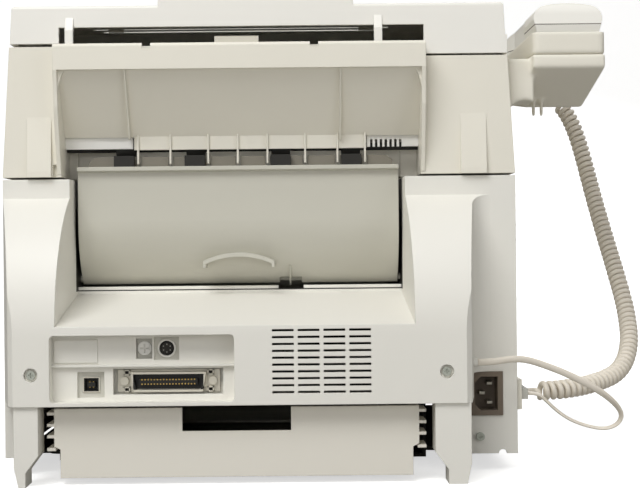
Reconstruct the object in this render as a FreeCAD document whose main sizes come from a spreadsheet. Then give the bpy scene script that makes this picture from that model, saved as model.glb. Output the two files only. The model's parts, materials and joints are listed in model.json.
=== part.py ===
import FreeCAD, Part
import math
import os
import Sketcher

os.makedirs("parts", exist_ok=True)
V = FreeCAD.Vector

# A laser fax machine with a handset at its left side. Millimetres, +Z up, the front towards -Y
# and the rear towards +Y. The origin is on the table, under the middle of the machine.
doc = FreeCAD.newDocument("FaxMachine")
sheet = doc.addObject("Spreadsheet::Sheet", "Sizes")

SIZES = {
    # The whole machine
    "body_width": 375.0,
    "cradle_reach": 68.0,
    "total_depth": 420.0,
    "wall": 3.0,
    "gap": 0.5,
    "path_inset": 171.5,
    # Rear cover: two flared columns, the opening between them, the ramp and the lower face
    "upper_setback": 60.0,
    "seam_z": 216.0,
    "band_z": 202.0,
    "flare_z": 105.0,
    "lower_edge_z": 56.0,
    "skirt_z": 12.5,
    "right_column_inset": 13.5,
    "left_column_inset": 39.5,
    "column_bevel": 4.0,
    "recess_blend": 15.0,
    "opening_width": 249.5,
    "opening_draft": 4.0,
    "throat_depth": 112.0,
    "ramp_low_z": 111.0,
    "ramp_high_z": 131.5,
    "ramp_depth": 92.0,
    "leg_depth": 26.0,
    "leg_width_right": 17.0,
    "leg_width_left": 25.0,
    "foot_narrowing": 9.0,
    # Interface recess, vents and cover screws in the lower face
    "recess_width": 127.7,
    "recess_inset": 43.0,
    "recess_low_z": 58.5,
    "recess_high_z": 105.0,
    "recess_depth": 12.0,
    "vent_inset": 197.0,
    "vent_width": 15.0,
    "vent_step": 17.8,
    "vent_height": 1.6,
    "vent_pitch": 4.75,
    "vent_low_z": 64.0,
    "screw_z": 78.0,
    "screw_head": 6.2,
    "screw_well": 9.6,
    "screw_inset_right": 30.0,
    "screw_inset_left": 57.3,
    # Upper housing: side walls, paper mouth, scanner bay and the rear hood
    "upper_gap": 1.5,
    "cover_height": 30.0,
    "upper_draft": 5.5,
    "upper_flat": 130.0,
    "upper_front_depth": 24.0,
    "mouth_width": 244.0,
    "mouth_height": 34.5,
    "hood_width": 269.0,
    "hood_offset": 3.0,
    "hood_reach": 18.0,
    "hood_panel_depth": 77.0,
    "hood_skin": 2.5,
    "hood_header": 19.0,
    "hood_rib_rise": 10.0,
    "hood_strip_rise": 20.5,
    "hood_panel_rise": 30.5,
    "gusset_drop": 17.0,
    "gusset_width": 5.0,
    "step_depth": 9.0,
    # Top cover with the control panel
    "cover_gap": 2.2,
    "cover_top_z": 343.0,
    "cover_fall": 53.0,
    "cover_round": 2.5,
    "cover_front_depth": 14.0,
    "cover_slot_depth": 16.0,
    "hinge_reach": 7.0,
    "hinge_drop": 8.5,
    "hinge_radius": 2.5,
    "hump_width": 143.0,
    "hump_height": 9.0,
    "panel_length": 150.0,
    "panel_width": 330.0,
    "panel_plate": 3.0,
    "key_width": 14.0,
    "key_depth": 9.0,
    "key_rise": 3.0,
    "key_step_x": 19.0,
    "key_step_y": 14.0,
    "key_travel": 1.2,
    "lcd_width": 78.0,
    "lcd_depth": 20.0,
    # Rear jam cover
    "jam_width": 238.0,
    "jam_skin": 3.0,
    "jam_face_depth": 76.0,
    "jam_bend_z": 185.0,
    "jam_bend_radius": 58.0,
    "jam_low_z": 138.0,
    "jam_top_z": 225.5,
    "jam_lip": 4.0,
    "grip_width": 53.0,
    "grip_z": 155.0,
    "grip_rise": 6.0,
    "pinch_step_inner": 31.8,
    "pinch_step_outer": 84.2,
    # Exit roller
    "exit_depth": 89.0,
    "exit_rise": 22.5,
    "exit_radius": 7.0,
    "shaft_radius": 3.0,
    "running_fit": 0.06,
    # Paper cassette
    "cassette_width": 246.5,
    "cassette_flange": 255.0,
    "cassette_low_z": 5.0,
    "cassette_top_z": 53.5,
    "cassette_rear_depth": 12.0,
    "cassette_skin": 2.5,
    "rail_width": 276.0,
    # Lower housing
    "front_face_depth": 12.0,
    "front_width": 269.0,
    "front_low_z": 58.0,
    "front_top_z": 196.0,
    "deck_z": 56.5,
    "plate_width": 258.0,
    # Handset and its cradle
    "cradle_width": 53.3,
    "cradle_setback": 5.0,
    "cradle_end_wall": 3.4,
    "cradle_front_wall": 5.6,
    "cradle_rim_drop": 21.6,
    "cradle_seam_drop": 38.2,
    "cradle_slope_drop": 48.0,
    "cradle_height": 73.0,
    "cradle_front_rise": 18.0,
    "cradle_arm_length": 39.0,
    "cup_width": 48.4,
    "cup_depth": 13.9,
    "handset_length": 214.0,
    "handset_width": 50.8,
    "handle_width": 37.0,
    "handset_height": 35.5,
    "handset_back_height": 18.0,
    "handset_floor_gap": 2.0,
    "handle_height": 18.5,
    # Cords
    "coil_diameter": 15.0,
    "coil_wire": 3.9,
    "coil_pitch": 5.2,
    "coil_tail": 62.0,
    "lead_diameter": 3.6,
}


class Size:
    """A length of the sheet, or a formula of such lengths: its value and its expression."""

    def __init__(self, value, text):
        self.value = float(value)
        self.text = text

    def __add__(self, other):
        other = size_of(other)
        return Size(self.value + other.value, f"({self.text} + {other.text})")

    def __radd__(self, other):
        return size_of(other) + self

    def __sub__(self, other):
        other = size_of(other)
        return Size(self.value - other.value, f"({self.text} - {other.text})")

    def __rsub__(self, other):
        return size_of(other) - self

    def __mul__(self, other):
        other = size_of(other)
        return Size(self.value * other.value, f"({self.text} * {other.text})")

    def __rmul__(self, other):
        return size_of(other) * self

    def __truediv__(self, other):
        other = size_of(other)
        return Size(self.value / other.value, f"({self.text} / {other.text})")

    def __neg__(self):
        return Size(-self.value, f"(-{self.text})")


def size_of(value):
    if isinstance(value, Size):
        return value
    number = float(value)
    if number < 0:
        return Size(number, f"({number!r})")
    return Size(number, repr(number))


def root(value):
    return Size(math.sqrt(value.value), f"sqrt({value.text})")


class Sheet:
    """The sheet's lengths by name."""


d = Sheet()
rows = 0


def put(name, text, value):
    """Write one named cell and keep its length under the same name."""
    global rows
    rows += 1
    sheet.set(f"A{rows}", name)
    sheet.set(f"B{rows}", text)
    sheet.setAlias(f"B{rows}", name)
    setattr(d, name, Size(value, f"Sizes.{name}"))


def derive(name, formula):
    """A cell whose length follows from other cells."""
    put(name, "=" + formula.text.replace("Sizes.", ""), formula.value)


for cell_name, cell_value in SIZES.items():
    put(cell_name, repr(cell_value), cell_value)

derive("right_x", (d.body_width + d.cradle_reach) / 2)
derive("left_x", d.right_x - d.body_width)
derive("path_x", d.right_x - d.path_inset)
derive("rear_y", d.total_depth / 2)
derive("front_y", -d.total_depth / 2)
derive("band_y", d.rear_y - d.upper_setback)
derive("inner_band_y", d.band_y - d.wall)
derive("flare_rise", d.band_z - d.flare_z)
derive("flare_radius",
       (d.flare_rise * d.flare_rise + d.upper_setback * d.upper_setback) / (2 * d.upper_setback))
derive("column_right_x", d.right_x - d.right_column_inset)
derive("column_left_x", d.left_x + d.left_column_inset)
derive("open_right_x", d.path_x + d.opening_width / 2)
derive("open_left_x", d.path_x - d.opening_width / 2)
derive("throat_y", d.rear_y - d.throat_depth)
derive("upper_low_z", d.seam_z + d.upper_gap)
derive("slope_y", d.band_y - d.upper_flat)
derive("upper_top_z", d.cover_top_z - d.cover_height)
derive("upper_front_y", d.front_y + d.upper_front_depth)
derive("front_face_y", d.front_y + d.front_face_depth)
derive("cover_front_y", d.front_y + d.cover_front_depth)
derive("cover_front_z", d.cover_top_z - d.cover_fall)
derive("cover_slot_z", d.cover_top_z - d.cover_slot_depth)
derive("hinge_y", d.band_y + d.hinge_reach)
derive("hinge_z", d.upper_top_z - d.hinge_drop)
derive("step_z", d.upper_top_z - d.step_depth)
derive("exit_y", d.rear_y - d.exit_depth)
derive("cradle_rear_y", d.band_y - d.cradle_setback)
derive("cradle_front_y", d.cradle_rear_y - d.cradle_end_wall - d.handset_length - d.cradle_front_wall)
derive("cradle_rim_z", d.cover_top_z - d.cradle_rim_drop)
derive("cradle_seam_z", d.cover_top_z - d.cradle_seam_drop)
derive("cradle_slope_z", d.cover_top_z - d.cradle_slope_drop)
derive("cradle_low_z", d.cover_top_z - d.cradle_height)
derive("cup_floor_z", d.cradle_rim_z - d.cup_depth)
derive("handset_low_z", d.cup_floor_z + d.handset_floor_gap)
derive("handset_top_z", d.handset_low_z + d.handset_height)
derive("handset_split_z", d.handset_top_z - d.handset_back_height)
derive("handle_low_z", d.handset_top_z - d.handle_height)
derive("hood_rib_z", d.upper_low_z + d.hood_rib_rise)
derive("hood_strip_z", d.upper_low_z + d.hood_strip_rise)
derive("exit_z", d.upper_low_z + d.exit_rise)
derive("hood_panel_z", d.upper_low_z + d.hood_panel_rise)
derive("mouth_top_z", d.upper_low_z + d.mouth_height)
derive("hood_low_z", d.upper_top_z - d.hood_header)
derive("scanner_height", d.upper_top_z - d.mouth_top_z)
derive("upper_front_z", d.mouth_top_z + d.scanner_height * (10.0 / 61.0))
derive("bay_floor_z", d.mouth_top_z + d.scanner_height * (24.0 / 61.0))
doc.recompute()


def bind(obj, prop, value):
    """Tie one property to the sheet."""
    value = size_of(value)
    obj.setExpression(prop, value.text)


def place(obj, x=None, y=None, z=None):
    for axis, value in (("x", x), ("y", y), ("z", z)):
        if value is not None:
            bind(obj, f"Placement.Base.{axis}", value)


def box(label, x0, x1, y0, y1, z0, z1):
    """A block between two corners."""
    obj = doc.addObject("Part::Box", label)
    bind(obj, "Length", size_of(x1) - x0)
    bind(obj, "Width", size_of(y1) - y0)
    bind(obj, "Height", size_of(z1) - z0)
    place(obj, x0, y0, z0)
    return obj


TURNS = {
    "X": FreeCAD.Rotation(V(0, 1, 0), 90),
    "Y": FreeCAD.Rotation(V(1, 0, 0), -90),
    "Z": FreeCAD.Rotation(),
}


def rod(label, axis, start, length, radius):
    """A round bar from a start point along one axis."""
    obj = doc.addObject("Part::Cylinder", label)
    obj.Placement = FreeCAD.Placement(V(), TURNS[axis])
    bind(obj, "Radius", radius)
    bind(obj, "Height", length)
    place(obj, *start)
    return obj


def arc_middle(a, b, radius):
    """The middle of the arc from a to b, bulging to the right of the way for a positive radius."""
    chord = b - a
    half = chord.Length / 2
    left = V(-chord.y, chord.x, 0).normalize()
    rise = abs(radius) - math.sqrt(radius * radius - half * half)
    return (a + b) / 2 - left * math.copysign(rise, radius)


def outline(body, plane, points):
    """A closed sketch through points (u, v), or (u, v, radius) where an arc goes to the next."""
    sketch = body.newObject("Sketcher::SketchObject", body.Name + "_outline")
    support = [o for o in body.Origin.OriginFeatures if o.Role == plane + "_Plane"]
    sketch.AttachmentSupport = [(support[0], "")]
    sketch.MapMode = "FlatFace"
    points = [tuple(size_of(value) for value in point) for point in points]
    spots = [V(p[0].value, p[1].value, 0) for p in points]
    count = len(points)
    first = []
    for i in range(count):
        a = spots[i]
        b = spots[(i + 1) % count]
        if len(points[i]) == 3:
            middle = arc_middle(a, b, points[i][2].value)
            sketch.addGeometry(Part.Arc(a, middle, b), False)
            first.append(1 if points[i][2].value > 0 else 2)
        else:
            sketch.addGeometry(Part.LineSegment(a, b), False)
            first.append(1)
    for i in range(count):
        j = (i + 1) % count
        sketch.addConstraint(Sketcher.Constraint("Coincident", i, 3 - first[i], j, first[j]))
    for i in range(count):
        for kind, k in (("DistanceX", 0), ("DistanceY", 1)):
            rule = Sketcher.Constraint(kind, -1, 1, i, first[i], points[i][k].value)
            number = sketch.addConstraint(rule)
            sketch.setExpression(f"Constraints[{number}]", points[i][k].text)
        if len(points[i]) == 3:
            radius = points[i][2]
            number = sketch.addConstraint(Sketcher.Constraint("Radius", i, abs(radius.value)))
            sketch.setExpression(f"Constraints[{number}]", f"abs({radius.text})")
    return sketch


def pad(label, plane, points, low, high):
    """An outline in XY, XZ or YZ carried from low to high along the third axis."""
    body = doc.addObject("PartDesign::Body", label)
    feature = body.newObject("PartDesign::Pad", label + "_pad")
    feature.Profile = outline(body, plane, points)
    bind(feature, "Length", size_of(high) - low)
    if plane == "XY":
        place(body, z=low)
    elif plane == "YZ":
        place(body, x=low)
    else:
        place(body, y=high)
    return body


def rounded(body, radius, test):
    """Round those edges of a body that the test picks; the test sees the edge's middle and run."""
    doc.recompute([body], True)
    tip = body.Tip
    names = []
    for number, edge in enumerate(tip.Shape.Edges, 1):
        ends = [vertex.Point for vertex in edge.Vertexes]
        if len(ends) == 2 and test(edge.CenterOfMass, ends[1] - ends[0]):
            names.append(f"Edge{number}")
    feature = body.newObject("PartDesign::Fillet", body.Name + "_round")
    feature.Base = (tip, names)
    bind(feature, "Radius", radius)
    return body


def runs(axis):
    """A test for edges that run along one axis."""
    def test(middle, run):
        return abs(getattr(run, axis)) > 0.999 * run.Length
    return test


def fuse(label, *pieces):
    obj = doc.addObject("Part::MultiFuse", label)
    obj.Shapes = list(pieces)
    obj.Refine = True
    return obj


def group(label, *pieces):
    """Separate solids kept side by side."""
    obj = doc.addObject("Part::Compound", label)
    obj.Links = list(pieces)
    return obj


def cut(label, base, *tools):
    obj = doc.addObject("Part::Cut", label)
    obj.Base = base
    obj.Tool = tools[0] if len(tools) == 1 else fuse(label + "_tools", *tools)
    obj.Refine = True
    return obj


def common(label, *pieces):
    obj = doc.addObject("Part::MultiCommon", label)
    obj.Shapes = list(pieces)
    obj.Refine = True
    return obj


NODES = {}


def node(name, obj):
    """Name a finished sub-part."""
    obj.Label = name
    NODES[name] = obj
    return obj


# Rear cover. The side outline flares from the band below the seam to the lower face, and the plan
# outline gives the columns their slanting outer faces and the blend into the left-hand recess.
def flare_outline(inset):
    """The side outline of the columns, drawn in by an inset."""
    radius = d.flare_radius - inset
    centre_y = d.rear_y - d.flare_radius
    reach = d.band_y - centre_y
    arc_top = d.flare_z + root(radius * radius - reach * reach)
    return radius, arc_top


outer_radius, outer_top = flare_outline(size_of(0))
inner_radius, inner_top = flare_outline(d.wall)
side_block = pad("cover_side_block", "YZ", [
    (d.inner_band_y, d.lower_edge_z),
    (d.rear_y, d.lower_edge_z),
    (d.rear_y, d.flare_z, outer_radius),
    (d.band_y, d.band_z),
    (d.band_y, d.seam_z),
    (d.inner_band_y, d.seam_z),
], d.left_x - 1, d.right_x + 1)
plan_block = pad("cover_plan_block", "XY", [
    (d.left_x, d.inner_band_y),
    (d.right_x, d.inner_band_y),
    (d.right_x, d.band_y),
    (d.column_right_x, d.rear_y - d.column_bevel),
    (d.column_right_x - d.column_bevel, d.rear_y),
    (d.column_left_x + d.column_bevel, d.rear_y),
    (d.column_left_x, d.rear_y - d.column_bevel),
    (d.column_left_x - 6, d.band_y + d.recess_blend, -d.recess_blend * 1.02),
    (d.column_left_x - 6 - d.recess_blend, d.band_y),
    (d.left_x, d.band_y),
], d.lower_edge_z - 1, d.seam_z + 1)
cover_block = common("cover_block", side_block, plan_block)
side_hollow = pad("cover_side_hollow", "YZ", [
    (d.inner_band_y - 1, d.lower_edge_z + d.wall),
    (d.rear_y - d.wall, d.lower_edge_z + d.wall),
    (d.rear_y - d.wall, d.flare_z, inner_radius),
    (d.band_y, inner_top),
    (d.inner_band_y - 1, inner_top),
], d.left_x - 1, d.right_x + 1)
plan_hollow = pad("cover_plan_hollow", "XY", [
    (d.column_left_x - 3, d.inner_band_y - 1),
    (d.right_x - d.wall, d.inner_band_y - 1),
    (d.right_x - d.wall, d.band_y - 1),
    (d.column_right_x - d.wall, d.rear_y - d.column_bevel - d.wall),
    (d.column_right_x - d.wall, d.rear_y - d.wall),
    (d.column_left_x + d.wall, d.rear_y - d.wall),
    (d.column_left_x + d.wall, d.rear_y - d.column_bevel - d.wall),
    (d.column_left_x - 3, d.band_y + d.recess_blend),
], d.lower_edge_z, d.seam_z)


def opening(label, grow):
    """The room between the columns, above the ramp, drawn in towards the front."""
    slope = (d.ramp_high_z - d.ramp_low_z) / d.ramp_depth
    side = pad(label + "_side", "YZ", [
        (d.throat_y - 1, d.ramp_high_z - grow),
        (d.rear_y - d.ramp_depth, d.ramp_high_z - grow),
        (d.rear_y + 1, d.ramp_low_z - grow - slope),
        (d.rear_y + 1, d.seam_z + 10),
        (d.throat_y - 1, d.seam_z + 10),
    ], d.open_left_x - 10, d.open_right_x + 10)
    plan = pad(label + "_plan", "XY", [
        (d.open_left_x + d.opening_draft - grow, d.throat_y - 2),
        (d.open_right_x - d.opening_draft + grow, d.throat_y - 2),
        (d.open_right_x + grow, d.rear_y + 2),
        (d.open_left_x - grow, d.rear_y + 2),
    ], d.ramp_low_z - 20, d.seam_z + 20)
    return common(label, side, plan)


recess_right_x = d.right_x - d.recess_inset
recess_left_x = recess_right_x - d.recess_width
recess_y = d.rear_y - d.recess_depth
recess_room = pad("recess_room", "XZ", [
    (recess_left_x, d.recess_low_z),
    (recess_right_x, d.recess_low_z),
    (recess_right_x, d.recess_high_z),
    (recess_left_x, d.recess_high_z),
], recess_y, d.rear_y + 1)
rounded(recess_room, size_of(3), runs("y"))
recess_case = box("recess_case", recess_left_x - d.wall, recess_right_x + d.wall,
                  recess_y - d.wall, d.rear_y, d.recess_low_z - d.wall, d.recess_high_z + d.wall)
cover_hollow = cut("cover_hollow", common("cover_inside", side_hollow, plan_hollow),
                   opening("opening_case", d.wall), recess_case)
throat = pad("throat", "YZ", [
    (d.throat_y, d.ramp_high_z - d.wall),
    (d.rear_y - d.ramp_depth, d.ramp_high_z - d.wall),
    (d.band_y, d.ramp_low_z + 10),
    (d.band_y, d.seam_z),
    (d.throat_y, d.seam_z),
], d.open_left_x + d.opening_draft / 2 - d.wall, d.open_right_x - d.opening_draft / 2 + d.wall)
lower_panel = box("lower_panel", d.left_x, d.column_left_x - 1, d.inner_band_y, d.band_y,
                  d.skirt_z, d.lower_edge_z + 1)
lower_corner = box("lower_corner", d.column_right_x - 2, d.right_x, d.inner_band_y, d.band_y,
                   d.skirt_z, d.lower_edge_z + 1)


def leg(label, outer_x, width, side):
    """A rear leg under a column: side is +1 at the right and -1 at the left."""
    inner_x = outer_x - side * width
    corners = [
        (inner_x + side * d.foot_narrowing, 0),
        (outer_x - side * 3, 0),
        (outer_x, 14),
        (outer_x, d.lower_edge_z + 1),
        (inner_x, d.lower_edge_z + 1),
        (inner_x, 22),
        (inner_x + side * d.foot_narrowing, 10),
    ]
    if side < 0:
        corners = [corners[0]] + corners[:0:-1]
    return pad(label, "XZ", corners, d.rear_y - d.leg_depth, d.rear_y - d.column_bevel / 2)


right_leg = leg("right_leg", d.column_right_x - d.column_bevel, d.leg_width_right, 1)
left_leg = leg("left_leg", d.column_left_x + 1, d.leg_width_left, -1)

# Openings of the recess for the sockets, and the vent slots of the lower face.
usb_x = d.right_x - 70
usb_z = size_of(70)
parallel_x = d.right_x - 124
parallel_z = size_of(72)
din_x = d.right_x - 123
din_z = size_of(95)
ground_x = d.right_x - 107.4
windows = [
    box("usb_window", usb_x - 9.4, usb_x + 9.4, recess_y - 10, recess_y + 1, usb_z - 9, usb_z + 9),
    box("parallel_window", parallel_x - 38.4, parallel_x + 38.4, recess_y - 10, recess_y + 1,
        parallel_z - 9, parallel_z + 9),
    box("din_window", din_x - 8.7, din_x + 8.7, recess_y - 10, recess_y + 1, din_z - 8, din_z + 8),
    box("ground_window", ground_x - 5.6, ground_x + 5.6, recess_y - 10, recess_y + 1,
        din_z - 7, din_z + 7),
]
vents = []
for column in range(4):
    for row in range(10):
        vent_x = d.right_x - d.vent_inset - d.vent_step * column
        vent_z = d.vent_low_z + d.vent_pitch * row
        vents.append(box(f"vent_{column}_{row}", vent_x - d.vent_width, vent_x,
                         d.rear_y - d.wall - 1, d.rear_y + 1, vent_z, vent_z + d.vent_height))
screw_right_x = d.right_x - d.screw_inset_right
screw_left_x = d.left_x + d.screw_inset_left
wells = []
posts = []
for name, x in (("right", screw_right_x), ("left", screw_left_x)):
    wells.append(rod(f"well_{name}", "Y", (x, d.rear_y - 3, d.screw_z), size_of(4), d.screw_well / 2))
    wells.append(rod(f"bore_{name}", "Y", (x, d.rear_y - 40, d.screw_z), size_of(40), size_of(1.7)))
    posts.append(rod(f"post_{name}", "Y", (x, d.rear_y - 12, d.screw_z), size_of(10), size_of(6.5)))

# The hinge holes of the jam cover in the throat's side walls.
jam_axis_y = d.rear_y - 103
jam_axis_z = d.jam_low_z + 4
jam_holes = rod("jam_holes", "X", (d.open_left_x - 6, jam_axis_y, jam_axis_z),
                d.opening_width + 12, size_of(2.5) + d.running_fit)
ledge = box("recess_ledge", recess_left_x, recess_right_x, recess_y - 1, recess_y + 3,
            size_of(82.5), size_of(84))
inlet_x = d.left_x + 23
inlet_z = size_of(56.5)
inlet_hole = box("inlet_hole", inlet_x - 12.2, inlet_x + 12.2, d.inner_band_y - 5, d.band_y + 20,
                 inlet_z - 16, inlet_z + 16)
side_screw_x = d.left_x + 27.5
side_screw_hole = rod("side_screw_hole", "Y", (side_screw_x, d.inner_band_y - 2, size_of(25)),
                      size_of(8), size_of(1.7))
foot_notch = rod("foot_notch", "Y", (d.left_x + 11, d.inner_band_y - 2, d.skirt_z), size_of(8),
                 size_of(3))
shell = fuse("cover_shell", cut("cover_skin", cover_block, cover_hollow), throat, lower_panel,
             lower_corner, right_leg, left_leg, *posts)
shell = cut("cover_open", shell, opening("opening_room", size_of(0)), recess_room,
            inlet_hole, side_screw_hole, foot_notch, jam_holes, *wells)
sill = box("sill", d.open_left_x + d.opening_draft / 2, d.open_right_x - d.opening_draft / 2,
           d.rear_y - d.ramp_depth - 4, d.rear_y - d.ramp_depth + 1, d.ramp_high_z - 1, d.ramp_high_z + 2.4)
bare_panel = box("bare_panel", recess_right_x - 32, recess_right_x - 1.5, recess_y - 1, recess_y + 1,
                 size_of(85.5), size_of(101.5))
slits = []
for number, (offset, width) in enumerate(((103.0, 20.0), (-82.5, 13.0))):
    slit_x = d.path_x + offset
    slits.append(box(f"ramp_slit_{number}", slit_x - width / 2, slit_x + width / 2, d.rear_y - d.ramp_depth + 2.5,
                     d.rear_y - d.ramp_depth + 4.5, d.ramp_high_z - 8, d.ramp_high_z + 3))
lead_z = size_of(81.6)
lead_gland = rod("lead_gland", "X", (d.column_left_x - 7, d.rear_y - 32, lead_z), size_of(6), size_of(3.5))
shell = fuse("cover_ledge", shell, ledge, lead_gland, sill, bare_panel)
node("rear_cover", cut("rear_cover", shell, group("vent_slots", *vents), group("windows", *windows),
                       group("ramp_slits", *slits)))

# Upper housing: a hollow bridge over the paper mouth, with the scanner bay in its top and the
# hood over the rear paper exit.
upper_side = pad("upper_side", "YZ", [
    (d.upper_front_y + 14, d.upper_low_z),
    (d.band_y, d.upper_low_z),
    (d.band_y, d.upper_top_z),
    (d.slope_y, d.upper_top_z),
    (d.upper_front_y, d.upper_front_z),
], d.left_x - 1, d.right_x + 1)
upper_cross = pad("upper_cross", "XZ", [
    (d.left_x, d.upper_low_z),
    (d.right_x, d.upper_low_z),
    (d.right_x - d.upper_draft, d.upper_top_z),
    (d.left_x + d.upper_draft, d.upper_top_z),
], d.upper_front_y - 5, d.band_y + 5)
upper_block = common("upper_block", upper_side, upper_cross)
hood_x = d.path_x - d.hood_offset
hood_right_x = hood_x + d.hood_width / 2
hood_left_x = hood_x - d.hood_width / 2
mouth = box("mouth", d.path_x - d.mouth_width / 2, d.path_x + d.mouth_width / 2,
            d.upper_front_y - 10, d.exit_y, d.upper_low_z - 1, d.mouth_top_z)
hood_y = d.band_y + d.hood_reach
panel_y = d.rear_y - d.hood_panel_depth
hood_window = box("hood_window", hood_left_x + d.wall, hood_right_x - d.wall, d.exit_y - 10,
                  d.band_y + 1, d.upper_low_z - 1, d.upper_top_z - d.wall)
bay = pad("scanner_bay", "YZ", [
    (d.slope_y - 90, d.bay_floor_z),
    (d.band_y - 42, d.bay_floor_z),
    (d.band_y - 42, d.upper_top_z + 5),
    (d.slope_y - 20, d.upper_top_z + 5),
    (d.slope_y - 90, d.bay_floor_z + (d.upper_top_z - d.bay_floor_z) * (12.0 / 37.0)),
], d.left_x + 16, d.right_x - 16)
tower_right = box("tower_right", d.path_x + d.mouth_width / 2 + d.wall, d.right_x - d.wall - 1.5,
                  d.upper_front_y + 22, d.exit_y - 20, d.upper_low_z - 1, d.mouth_top_z)
tower_left = box("tower_left", d.left_x + d.wall + 1.5, d.path_x - d.mouth_width / 2 - d.wall,
                 d.upper_front_y + 22, d.exit_y - 20, d.upper_low_z - 1, d.mouth_top_z)
step_room = box("step_room", d.left_x - 1, hood_left_x, d.slope_y, d.band_y + 1, d.step_z,
                d.upper_top_z + 1)
upper_shell = cut("upper_shell", upper_block, mouth, hood_window, bay, tower_right, tower_left,
                  step_room)
hood_skin = pad("hood_skin", "YZ", [
    (panel_y - d.hood_skin, d.hood_strip_z),
    (panel_y, d.hood_strip_z),
    (panel_y, d.hood_panel_z),
    (hood_y - d.hood_skin - 1, d.hood_low_z),
    (hood_y, d.hood_low_z),
    (hood_y, d.upper_top_z - 2),
    (hood_y - 2, d.upper_top_z),
    (hood_y - d.hood_skin - 2, d.upper_top_z),
    (hood_y - d.hood_skin, d.upper_top_z - 2),
    (hood_y - d.hood_skin, d.hood_low_z + d.hood_skin),
    (hood_y - d.hood_skin - 2, d.hood_low_z + d.hood_skin),
    (panel_y - d.hood_skin, d.hood_panel_z + 1),
], hood_left_x, hood_right_x)


def hood_cheek(label, low):
    """A side wall of the hood, whose rear edge curves back to the housing."""
    return pad(label, "YZ", [
        (d.band_y - 1, d.upper_low_z + 2),
        (d.band_y + 0.5, d.upper_low_z + 2),
        (hood_y - 4, d.hood_low_z - 26, -d.hood_low_z * 0.55),
        (hood_y, d.hood_low_z),
        (hood_y, d.upper_top_z - 2),
        (hood_y - 2, d.upper_top_z),
        (d.band_y - 1, d.upper_top_z),
    ], low, low + d.wall)


hood_ribs = []
for number, offset in enumerate((-74.0, -50.0, -22.0, 0.0, 22.0, 50.0, 74.0, 94.4)):
    rib_x = d.path_x - offset
    hood_ribs.append(box(f"hood_rib_{number}", rib_x - 0.7, rib_x + 0.7, panel_y - d.hood_skin,
                         panel_y + 2, d.hood_rib_z, d.hood_panel_z + 1))
for number, offset in enumerate((-80.0, 76.0)):
    rib_x = d.path_x - offset
    hood_ribs.append(pad(f"hood_long_rib_{number}", "YZ", [
        (panel_y - 1, d.hood_panel_z),
        (panel_y + 3, d.hood_panel_z - 4),
        (hood_y - 1, d.hood_low_z),
        (hood_y - d.hood_skin - 3, d.hood_low_z + 1),
    ], rib_x - 0.7, rib_x + 0.7))
exit_bores = rod("exit_bores", "X", (hood_left_x - 6, d.exit_y, d.exit_z), d.hood_width + 12,
                 d.shaft_radius + d.running_fit)
arm_spots = (d.path_x + 121.6, d.path_x - 104)
lugs = []
for number, arm_x in enumerate(arm_spots):
    for side in (-1, 1):
        lug_x = arm_x + side * 5.6
        lugs.append(pad(f"hinge_lug_{number}_{side + 1}", "YZ", [
            (d.hinge_y - 5, d.hood_low_z),
            (hood_y - 1, d.hood_low_z),
            (hood_y - 1, d.hinge_z + 4),
            (d.hinge_y - 5, d.hinge_z + 4),
        ], lug_x - 2, lug_x + 2))
gussets = []
for side, edge_x in ((1, hood_left_x + d.wall), (-1, hood_right_x - d.wall)):
    corners = [
        (edge_x - side * 1, d.hood_low_z + 1),
        (edge_x - side * 1, d.hood_low_z - d.gusset_drop),
        (edge_x, d.hood_low_z - d.gusset_drop, size_of(-side) * d.gusset_drop * 2),
        (edge_x + side * d.gusset_width, d.hood_low_z),
        (edge_x + side * d.gusset_width, d.hood_low_z + 1),
    ]
    gussets.append(pad(f"hood_gusset_{side + 1}", "XZ", corners, hood_y - 11, hood_y - 3.5))
upper_solid = fuse("upper_solid", upper_shell, hood_skin, *gussets,
                   hood_cheek("hood_cheek_left", hood_left_x),
                   hood_cheek("hood_cheek_right", hood_right_x - d.wall), *hood_ribs, *lugs)
wedges = []
for name, low, high in (("right", d.right_x - 36, d.right_x - 18), ("left", d.left_x + 21, d.left_x + 40)):
    wedges.append(pad(f"seam_wedge_{name}", "YZ", [
        (d.band_y - 1, d.upper_low_z),
        (d.band_y + 3.5, d.upper_low_z),
        (d.band_y + 3.5, d.upper_low_z + 4),
        (d.band_y, d.upper_low_z + 44),
        (d.band_y - 1, d.upper_low_z + 44),
    ], low, high))
clip_notches = []
for number, offset in enumerate((64.0, -57.0)):
    notch_x = d.path_x + offset
    clip_notches.append(box(f"clip_notch_{number}", notch_x - 3, notch_x + 3, hood_y - d.hood_skin - 3, hood_y + 1,
                            d.upper_top_z - 4, d.upper_top_z + 1))
arm_gap = box("hood_arm_gap", hood_right_x, hood_right_x + 3, d.band_y - 3, d.band_y + 6, d.upper_low_z - 1,
              d.upper_low_z + 9)
pin_bores = rod("pin_bores", "X", (hood_left_x + 2, d.hinge_y, d.hinge_z), d.hood_width - 4,
                d.hinge_radius)
pins = []
for number, arm_x in enumerate(arm_spots):
    pins.append(rod(f"hinge_pin_{number}", "X", (arm_x - 7.6, d.hinge_y, d.hinge_z), size_of(15.2),
                    d.hinge_radius))
pins.append(box("slot_leaf", d.path_x - 16.5, d.path_x + 16, d.band_y - 6, d.band_y - 5, d.upper_top_z,
                d.upper_top_z + 7.5))
node("cover_hinge_pins", group("cover_hinge_pins", *pins))

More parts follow.
